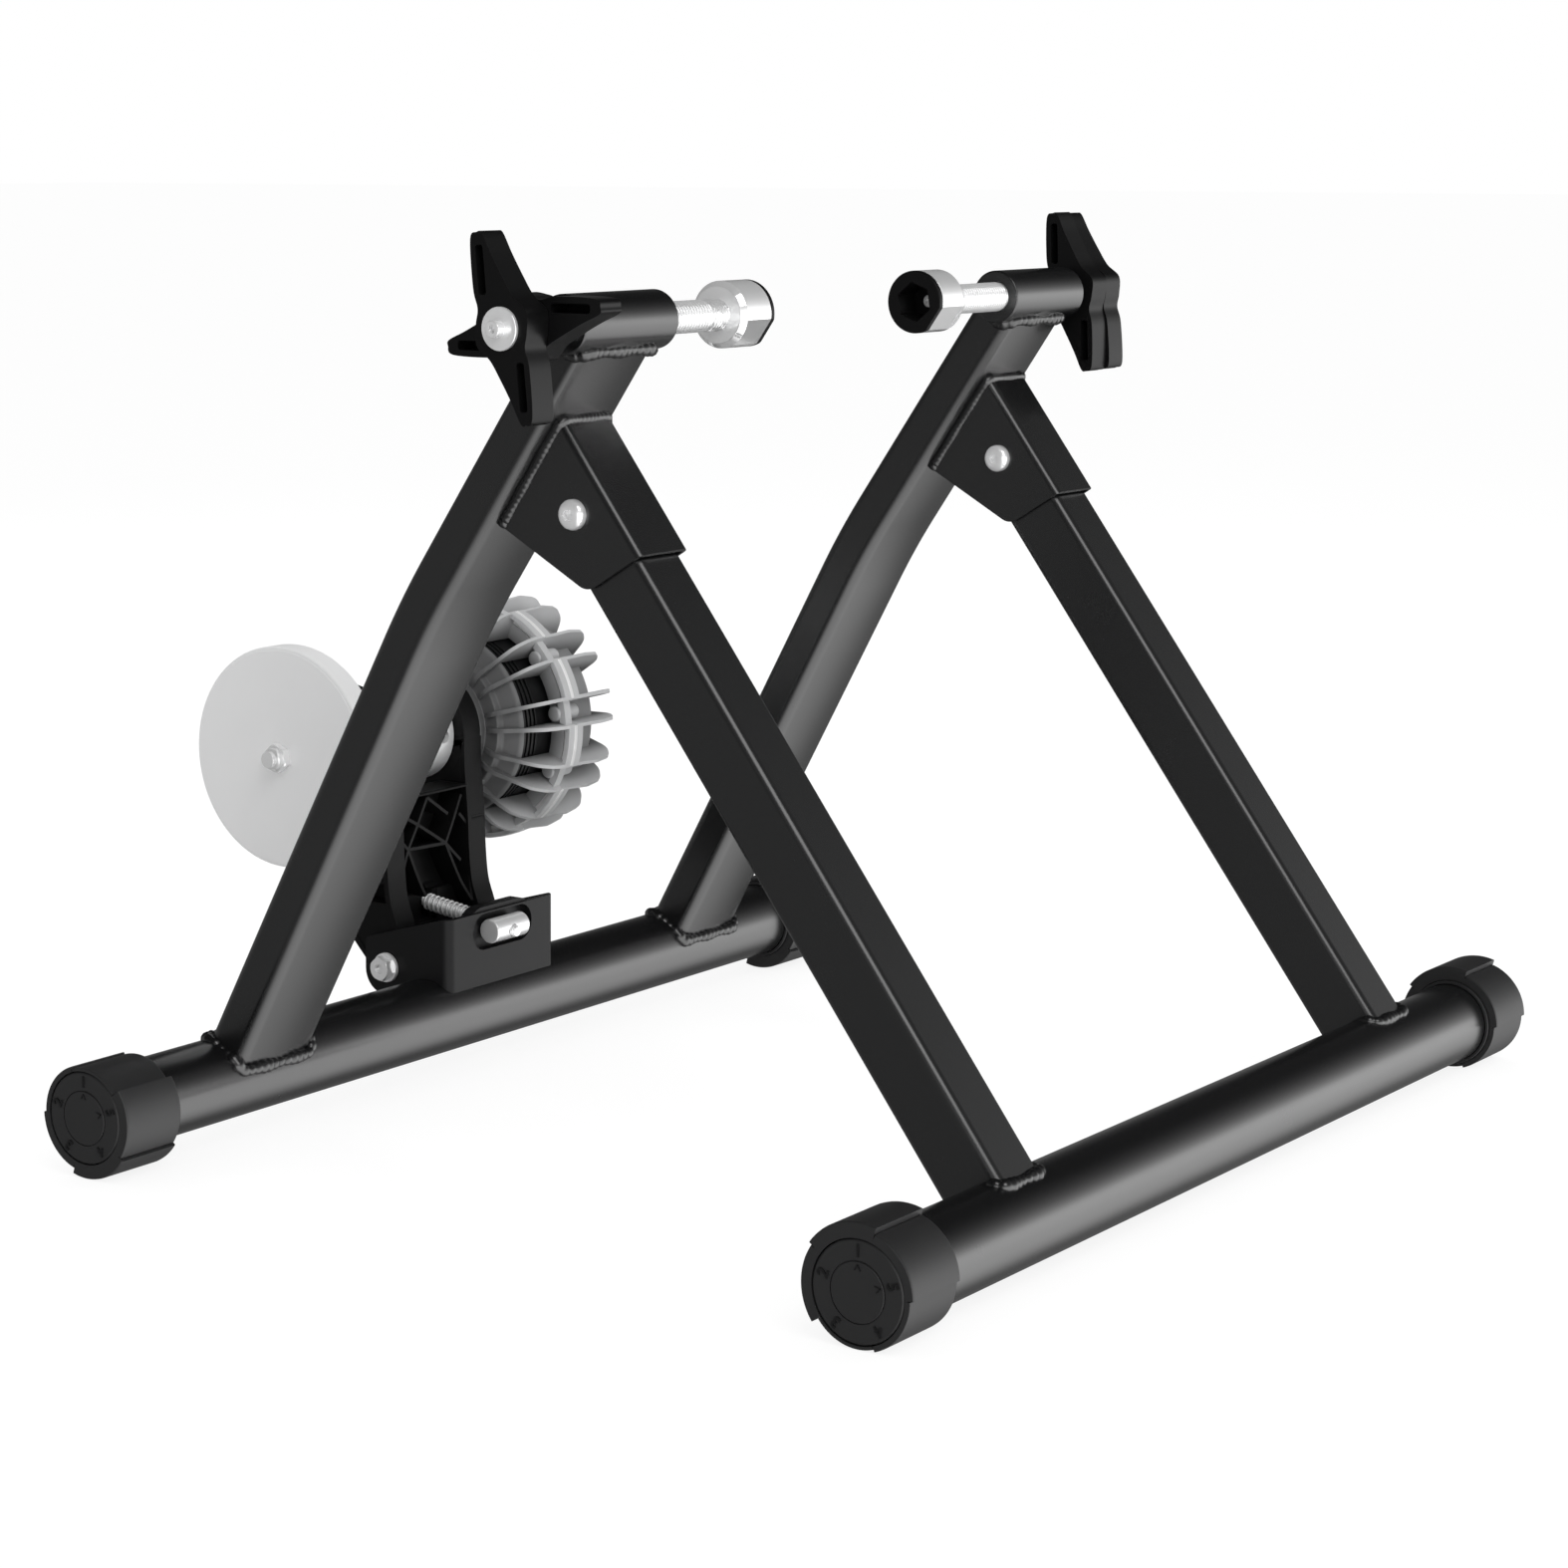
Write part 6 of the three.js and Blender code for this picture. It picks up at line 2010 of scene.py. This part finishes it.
@dataclass
class SpinningSet:
    """The roller, its spindle and bearings, the flywheel and its nut."""

    spindle: Pair = (6, 4)
    spindle_ends: Triple = (88, 77, 86)
    roller_radius: float = 24
    roller_half: float = 24.6
    screw_x: float = 17
    set_screw: Triple = (3, 11, 21)
    set_socket: Pair = (1.5, 18)
    bearing_ends: Pair = (27.3, 37.3)
    bearing_radii: tuple[float, ...] = (8.6, 8.9, 11.4, 11.7, 14)
    flywheel_radius: float = 53.8
    flywheel_outer: float = 78.6
    flywheel_thick: float = 14
    flywheel_hub: Pair = (14, 10)
    nut: Triple = (7.25, 6, 2)
    cap: Pair = (1.6, 5.4)

    def build(self) -> None:
        """Makes what turns in the yoke."""
        axle = at(0, STANCE.unit)
        radius, end_radius = self.spindle
        left, step, right = self.spindle_ends
        spindle = Piece.stand_in("spindle", revolve(rounded([
            (-left, 0, 0), (-left, end_radius, 0.5), (-step, end_radius, 0), (-step, radius, 0.3),
            (right, radius, 0.5), (right, 0, 0),
        ]), axle, sides=64))
        spindle.finish("spinning_set", Finishes.zinc)
        bore, half = radius + 0.3, self.roller_half
        profile = bushing((-half, half), (bore, self.roller_radius), (0, 0.8))
        roller = Piece.stand_in("roller", revolve(profile, axle, sides=160))
        turned = (at(self.screw_x, STANCE.unit), (0, -1, 0))
        thick, foot, end = self.set_screw
        hole, beyond = thick + 0.3, 30
        drill = [(radius, 0), (radius, hole), (beyond, hole), (beyond, 0)]
        roller.cut(revolve(drill, *turned, 40))
        roller.finish("spinning_set", Finishes.roller, edge=0.25)
        screw = Piece.stand_in("roller_set_screw", revolve(rounded([
            (foot, 0, 0), (foot, thick, 0), (end, thick, 0.4), (end, 0, 0),
        ]), *turned, 40))
        wide, floor = self.set_socket
        screw.cut(revolve([(floor, 0), (floor, wide), (end + 2, wide), (end + 2, 0)], *turned, 6))
        screw.finish("spinning_set", Finishes.core)
        self.make_flywheel(axle, bore)
        for name, side in SIDES:
            self.make_bearing(name, side, axle, bore)

    def make_bearing(self, name: str, side: int, axle: np.ndarray, bore: float) -> None:
        """Makes a ball bearing as one ring with a groove for the shield in each face.

        Args:
            name: left or right.
            side: -1 or 1.
            axle: A point of the axis.
            bore: Radius of its hole.
        """
        low, high = sorted(side * end for end in self.bearing_ends)
        inner, shield, shield_end, outer_race, outside = self.bearing_radii
        half = [
            (0, bore, 0.4), (0, inner, 0.3), (1, shield, 0),
            (1, shield_end, 0), (0, outer_race, 0.3), (0, outside, 0.6),
        ]
        corners = [(low + depth, radius, edge) for depth, radius, edge in half]
        corners += [(high - depth, radius, edge) for depth, radius, edge in reversed(half)]
        ring = Piece.stand_in(f"bearing_{name}", revolve(rounded(corners, 4), axle))
        ring.finish("roller_yoke", Finishes.zinc)

    def make_flywheel(self, axle: np.ndarray, bore: float) -> None:
        """Makes the flywheel with a fine line by its edge, and the domed nut on its end.

        Args:
            axle: A point of the axis.
            bore: Radius of the flywheel's hole.
        """
        face, radius, thick = -self.flywheel_outer, self.flywheel_radius, self.flywheel_thick
        hub, hub_length = self.flywheel_hub
        inner, hub_end = face + thick, face + thick + hub_length
        wheel = Piece.stand_in("flywheel", revolve(rounded([
            (face, bore, 0), (face, radius - 1.9, 0), (face + 0.25, radius - 1.7, 0),
            (face + 0.3, radius, 1.1), (inner, radius, 1.6), (inner, hub, 1.5),
            (hub_end, hub, 0.8), (hub_end, bore, 0),
        ]), axle, sides=256))
        wheel.finish("spinning_set", Finishes.flywheel)
        corner, height, dome = self.nut
        top = face - height
        hex_part = plate(hexagon(STANCE.unit, corner, 0.35), top + dome, face)
        nut = Piece.stand_in("flywheel_nut", hex_part).within(revolve([
            (top, 0), (top + dome * 0.6, corner * 0.86), (top + dome * 1.5, corner),
            (face + 1, corner), (face + 1, 0),
        ], axle))
        rise, cap = self.cap
        bend = np.linspace(0, math.pi / 2, 12)[::-1]
        along, across = top - rise * np.sin(bend), np.append(0, cap * np.cos(bend[1:]))
        nut.join(revolve([*zip(along, across), (face - 1, cap), (face - 1, 0)], axle, sides=48))
        nut.finish("spinning_set", Finishes.zinc, edge=0.2)


@dataclass
class FluidUnit:
    """The finned housing in two halves, with the dark core between the fins."""

    pairs: int = 11
    first_angle: float = 67.2
    window: float = 19.3
    fin_base: float = 2.6
    fin_tip: float = 1.7
    left: float = 38.7
    flange: float = 29
    bore: float = 15
    cone: tuple[float, float, float, float] = (43, 38, 52, 47)
    step: float = 3.2
    wall: float = 3
    ring: tuple[float, float, float, float] = (70, 75, 59.4, 62)
    valley: float = 56
    boss: Triple = (4, 52.8, 69)
    pin: Triple = (3.4, 24, 25)
    cover_flange: Pair = (81, 62.5)
    shell: Pair = (47, 110)
    lobe: float = 115
    core_radius: float = 46.4
    core_ends: Pair = (52.4, 106.4)
    core_nose: Triple = (11.3, 14, 5.4)
    groove: Triple = (3.2, 1.5, 2)
    grooves: int = 3
    ends_of_edge: tuple[Pair, Pair] = ((44, 26), (82, 62))
    fin_edge: Pairs = (
        (42.6, 30), (41.4, 33), (41.2, 36.5), (43, 41), (47, 45.5), (51, 51), (56, 56.5),
        (63, 60.2), (69, 61.6), (75, 62),
    )

    def pitch(self) -> float:
        """Returns the angle between pairs of fins, in degrees."""
        return 360 / self.pairs

    def pair_angles(self) -> np.ndarray:
        """Returns the first fin's angle of each pair, in degrees up from the front."""
        return self.first_angle - np.arange(self.pairs) * self.pitch()

    def fin_angles(self) -> np.ndarray:
        """Returns every fin's angle."""
        first = self.pair_angles()
        return np.concatenate([first, first - self.window])

    def outward(self, degrees: float) -> np.ndarray:
        """Returns the direction away from the axis at an angle up from the front."""
        angle = math.radians(degrees)
        return np.array([0.0, -math.cos(angle), math.sin(angle)])

    def fin(self, outline: np.ndarray, degrees: float, foot: float, tip: float) -> Solid:
        """Makes a fin that is thinner at its tip.

        Half the thickness at radius r is fin_base / 2 at the foot and fin_tip / 2 at the tip,
        in even steps between, on both sides of the plane through the axis.

        Args:
            outline: Points (x, radius).
            degrees: Its angle up from the front.
            foot: The radius where it is thickest.
            tip: The radius where it is thinnest.

        Returns:
            The fin.
        """
        out = self.outward(degrees)
        across = np.cross(X_AXIS, out)
        share = np.clip((outline[:, 1] - foot) / (tip - foot), 0, 1)
        half = (self.fin_base + (self.fin_tip - self.fin_base) * share) / 2
        flat = at(outline[:, 0], np.array(STANCE.unit) + outline[:, 1:2] * out[1:])
        return grid(np.stack([flat - half[:, None] * across, flat + half[:, None] * across]))

    def bosses(self, start: float, end: float, edges: Pair) -> list[Solid]:
        """Returns a round boss between each two pairs of fins, its two ends rounded.

        Args:
            start: Where they start along X.
            end: Where they end.
            edges: How far both ends are rounded.

        Returns:
            The bosses.
        """
        radius, reach = self.boss[:2]
        profile = rounded([
            (start, 0, 0), (start, radius, edges[0]), (end, radius, edges[1]), (end, 0, 0),
        ])
        angles = self.pair_angles() - (self.window + self.pitch()) / 2
        centres = [np.array(STANCE.unit) + reach * self.outward(angle)[1:] for angle in angles]
        return [revolve(profile, at(0, centre), sides=24) for centre in centres]

    def raised_band(self, start: float, end: float, inner: float, low: float, high: float) -> Solid:
        """Makes a ring that is high between the two fins of each pair and low elsewhere.

        The radius at an angle is high where the angle falls in a pair's window, plus a small
        shoulder, and low between pairs, with a short slope.

        Args:
            start: Where it starts along X.
            end: Where it ends.
            inner: Its inner radius.
            low: Its radius between pairs.
            high: Its radius within them.

        Returns:
            The ring.
        """
        shoulder, slope, edge = 1.5, 1.2, 0.4
        degrees = np.arange(0, 360, 0.5)
        offset = (self.first_angle + shoulder - degrees) % self.pitch()
        falling = np.clip((self.window + 2 * shoulder - offset) / slope, 0, 1)
        reach = low + (high - low) * (falling * np.clip(offset / slope, 0, 1))
        angle = np.radians(degrees)
        out = np.stack([-np.cos(angle), np.sin(angle)], axis=-1)
        rows = []
        for along, radius in (
            (start, inner), (start, reach - edge), (start + edge, reach),
            (end, reach), (end, inner),
        ):
            spot = np.broadcast_to(np.asarray(radius, float), degrees.shape)
            rows.append(at(along, np.array(STANCE.unit) + spot[:, None] * out))
        return grid(np.stack(rows), ring=True, caps=False)

    def make_inner(self) -> None:
        """Makes the inner half: flange, cone, fins, raised band, bosses and pin."""
        start, foot, end, radius = self.cone
        wall, flange = self.wall, self.flange
        shell = revolve(rounded([
            (self.left, self.bore, 0), (self.left, flange, 1),
            (start, flange, 0.6), (start, foot - 1, 0.8),
            (start + self.step, foot, 1.5), (end - 1.5, radius - 0.6, 4), (end, radius, 0.4),
            (end, radius - wall, 0),
            (start + 1.5 * wall, foot - wall, 0), (start + 1.5 * wall, self.bore, 0),
        ]), at(0, STANCE.unit), sides=132)
        piece = Piece.stand_in("fluid_housing_inner", shell)
        ring_start, joint, inner, high = self.ring
        before, after = self.ends_of_edge
        steps = 6
        edge = flowing([before, *self.fin_edge, after], steps)[steps:steps * len(self.fin_edge) + 1]
        under = [
            (joint, radius + 0.3), (end, radius + 0.3), (end - 1.5, radius - wall),
            (start + wall, foot - 1), (start + 1, flange - 1),
        ]
        outline = np.concatenate([edge, under])
        fins = [self.fin(outline, angle, flange, high) for angle in self.fin_angles()]
        bosses = self.bosses(self.boss[2], joint, (1.2, 0))
        pin_radius, pin_front, pin_drop = self.pin
        pin_centre = np.array(STANCE.unit) - [pin_front, pin_drop]
        pin_end = start + 3 * wall
        pin = revolve(rounded([
            (start, 0, 0), (start, pin_radius, 0.8), (pin_end, pin_radius, 0), (pin_end, 0, 0),
        ]), at(0, pin_centre), sides=24)
        band = self.raised_band(ring_start, joint, inner, self.valley, high)
        low_ring = revolve([
            (joint - 2, radius + 1), (joint - 2, self.valley),
            (joint, self.valley), (joint, radius + 1),
        ], at(0, STANCE.unit), sides=132)
        piece.add(band, low_ring, pin, *bosses, *fins)
        piece.finish("roller_yoke", Finishes.casting, edge=0.4, crease=34)

    def make_edge_band(self) -> None:
        """Makes the bright machined strip along the joint of the two halves."""
        _, joint, _, high = self.ring
        half, proud, valley = 1.1, 0.25, self.valley
        strip = self.raised_band(joint - half, joint + half, valley - 4, valley - 3, high + proud)
        piece = Piece.of("machined_joint_edge", strip)
        piece.finish("roller_yoke", Finishes.machined)

    def make_outer(self) -> None:
        """Makes the outer half: flange, drum, rounded fins and end boss."""
        joint = self.ring[1]
        flange_end, flange_radius = self.cover_flange
        inner, end = self.shell
        outer = inner + self.wall
        hole, floor = 8, end - self.wall
        shell = revolve(rounded([
            (joint, inner, 0), (joint, outer + 2, 0), (flange_end, outer + 2, 1),
            (flange_end + 1, outer, 0), (end - 2 * self.wall, outer, 3), (end, outer - 6, 4),
            (end, hole, 0), (floor, hole, 0), (floor, inner, 0),
        ]), at(0, STANCE.unit), sides=132)
        piece = Piece.stand_in("fluid_housing_outer", shell)
        band = self.raised_band(joint, flange_end, inner + 1, self.valley - 1, self.ring[3])
        outline = rounded([
            (joint + 1, outer - 2, 0), (joint + 1, self.ring[3], 0.5),
            (flange_end + 2, flange_radius - 0.5, 6), (end - 14, flange_radius + 0.5, 10),
            (end - 2, flange_radius - 1.5, 9), (self.lobe, outer + 4, 9),
            (self.lobe, outer - 8, 12), (end + 2.5, 20, 5),
            (end - 2, 20, 0), (end - 2, outer - 2, 0),
        ], 8)
        fins = [self.fin(outline, angle, outer, flange_radius) for angle in self.fin_angles()]
        piece.add(band, *self.bosses(joint, flange_end + 5, (0, 1.6)), *fins)
        piece.finish("roller_yoke", Finishes.casting, edge=0.4, crease=34)

    def make_core(self) -> None:
        """Makes the dark core with its ring grooves."""
        left, right = self.core_ends
        radius, (bore, nose, nose_length) = self.core_radius, self.core_nose
        pitch, width, depth = self.groove
        tip, floor = left - nose_length, radius - depth
        corners = [(tip, bore, 0), (tip, nose, 0), (left, nose, 0), (left, radius, 0.4)]
        for i in range(self.grooves):
            start = left + depth + i * pitch
            end = start + width
            corners += [
                (start, radius, 0.3), (start, floor, 0), (end, floor, 0), (end, radius, 0.3),
            ]
        corners += [(right, radius, 0.5), (right, bore, 0)]
        solid = revolve(rounded(corners, 3), at(0, STANCE.unit), sides=128)
        core = Piece.stand_in("fluid_core", solid)
        core.finish("roller_yoke", Finishes.core)
        dress("shaft_seal", Finishes.core)
        dress("impeller", Finishes.plastic)

    def build(self) -> None:
        """Makes the unit's visible pieces."""
        self.make_inner()
        self.make_outer()
        self.make_edge_band()
        self.make_core()


@dataclass
class Studio:
    """The camera, the lamps, the floor and the white surroundings."""

    camera_place: Triple = (-1.4164, -0.99156, 0.4476)
    camera_view: Triple = (0.81457, 0.55500, -0.16868)
    lens: float = 86.02
    sensor: float = 36
    middle: Triple = (0, 0, 0.2)
    floor_size: float = 60
    floor_drop: float = 0.0002
    ambient: float = 0.6
    shown: Pair = (0.75, 1.15)
    brightest: float = 3
    surroundings: Pairs = (
        (-1.0, 0.75), (-0.25, 0.8), (-0.08, 0.93), (0.04, 1.0), (0.15, 0.5), (0.3, 0.22),
        (0.45, 0.1), (0.6, 0.05), (1.0, 0.05),
    )
    shaded_rear: Triple = (0.0, -0.6, 0.09)

    def camera(self) -> None:
        """Puts the camera where the photograph was taken from."""
        data = bpy.data.cameras.new("camera")
        data.lens = self.lens
        data.sensor_width = self.sensor
        made = bpy.data.objects.new("camera", data)
        made.location = self.camera_place
        made.rotation_mode = "QUATERNION"
        made.rotation_quaternion = Vector(self.camera_view).to_track_quat("-Z", "Y")
        bpy.context.scene.collection.objects.link(made)
        bpy.context.scene.camera = made

    def lamp(
        self, name: str, place: Sequence[float], size: float, power: float, mirrored: bool
    ) -> None:
        """Adds a square soft lamp that faces the stand's middle.

        Args:
            name: Its name.
            place: Where it stands, in metres.
            size: Its side's length.
            power: Its power in watts.
            mirrored: Whether shiny pieces mirror it.
        """
        data = bpy.data.lights.new(name, "AREA")
        data.shape = "SQUARE"
        data.size = size
        data.energy = power
        made = bpy.data.objects.new(name, data)
        made.location = place
        made.rotation_mode = "QUATERNION"
        towards = Vector(self.middle) - Vector(place)
        made.rotation_quaternion = towards.to_track_quat("-Z", "Y")
        made.visible_glossy = mirrored
        bpy.context.scene.collection.objects.link(made)

    def rays(self, graph: Graph) -> tuple[Wire, Wire]:
        """Returns 1 for rays from the camera or through glass, and 1 for glossy rays.

        Args:
            graph: The nodes that they are added to.

        Returns:
            Both wires.
        """
        path = graph.add("ShaderNodeLightPath").socket.node
        kinds = ("Is Camera Ray", "Is Glossy Ray", "Is Transmission Ray")
        camera, glossy, through = (Wire(graph, path.outputs[name]) for name in kinds)
        direct = graph.add("ShaderNodeMath", {"operation": "MAXIMUM"}, {0: camera, 1: through})
        return direct, glossy

    def floor(self) -> None:
        """Lays the pale floor, which shows white and keeps a faint shadow.

        Glossy rays pass it and meet the surroundings, whose lower half is the floor's glare.
        """
        reach, z = self.floor_size / 2, -self.floor_drop
        corners = [(-reach, -reach, z), (reach, -reach, z), (reach, reach, z), (-reach, reach, z)]
        mesh = bpy.data.meshes.new("floor")
        mesh.from_pydata(corners, [], [(0, 1, 2, 3)])
        made = bpy.data.objects.new("floor", mesh)
        bpy.context.scene.collection.objects.link(made)
        surface = bpy.data.materials.new("floor_white")
        surface.use_nodes = True
        graph = Graph(surface.node_tree)
        matt = graph.add("ShaderNodeBsdfDiffuse", None, {"Color": (0.8, 0.8, 0.8, 1)})
        share, strength = self.shown
        glow = graph.add("ShaderNodeEmission", None, {"Color": (1, 1, 1, 1), "Strength": strength})
        shown = graph.add("ShaderNodeMixShader", None, {0: share, 1: matt, 2: glow})
        direct, glossy = self.rays(graph)
        seen = graph.add("ShaderNodeMixShader", None, {0: direct, 1: matt, 2: shown})
        clear = graph.add("ShaderNodeBsdfTransparent")
        whole = graph.add("ShaderNodeMixShader", None, {0: glossy, 1: seen, 2: clear})
        graph.add("ShaderNodeOutputMaterial", None, {"Surface": whole})
        mesh.materials.append(surface)

    def world(self) -> None:
        """Gives the surroundings: white where they are seen, softer as light.

        Glossy rays meet their own level: a ramp over the ray's height, times a smooth fall
        towards the rear over its y, times brightest. Below the horizon it is the floor's glare.
        """
        made = bpy.data.worlds.new("white_room")
        made.use_nodes = True
        graph = Graph(made.node_tree)
        incoming = graph.add("ShaderNodeNewGeometry", output="Incoming")
        split = graph.add("ShaderNodeSeparateXYZ", None, {0: incoming}).socket.node
        rise = Wire(graph, split.outputs[2]) * -0.5 + 0.5
        stops = [
            ((height + 1) / 2, (level, level, level, 1.0)) for height, level in self.surroundings
        ]
        glare = graph.add("ShaderNodeValToRGB", {"stops": stops}, {0: rise})
        dark, bright, darkest = self.shaded_rear
        fall = graph.add(
            "ShaderNodeMapRange",
            {"interpolation_type": "SMOOTHSTEP"},
            {
                "Value": Wire(graph, split.outputs[1]) * -1, "From Min": dark, "From Max": bright,
                "To Min": darkest, "To Max": 1.0,
            },
        )
        level = graph.add("ShaderNodeSeparateColor", None, {0: glare}) * fall * self.brightest
        direct, glossy = self.rays(graph)
        strength = self.ambient + direct * (1 - self.ambient) + glossy * (level - self.ambient)
        values = {"Color": (1, 1, 1, 1), "Strength": strength}
        background = graph.add("ShaderNodeBackground", None, values)
        graph.add("ShaderNodeOutputWorld", None, {"Surface": background})
        bpy.context.scene.world = made

    def build(self) -> None:
        """Sets up everything but the camera."""
        bpy.context.scene.view_settings.view_transform = "Standard"
        self.floor()
        self.world()
        self.lamp("key_lamp", (-1.2, -1.6, 1.9), 1.4, 18, True)
        self.lamp("fill_lamp", (1.8, -1.2, 1.2), 1.6, 12, False)
        self.lamp("back_lamp", (0.6, 1.9, 1.6), 1.4, 12, False)


def main() -> None:
    """Builds the scene piece by piece."""
    logging.basicConfig(level=logging.INFO, format="%(message)s", stream=sys.stdout)
    studio = Studio()
    studio.camera()
    BaseTube("front", "front_frame", STANCE.front, 566, STANCE.lean()).build()
    BaseTube("rear", "rear_frame", STANCE.rear, 552, math.pi + STANCE.lean()).build()
    for name, side in SIDES:
        SideFrame(name, side).build()
    AxleClamp("left", -1, 70, 0, -85).build()
    AxleClamp("right", 1, 65, 0, 3).build()
    UnitBracket().build()
    Tension().build()
    Yoke().build()
    SpinningSet().build()
    FluidUnit().build()
    studio.build()


if __name__ == "__main__":
    main()
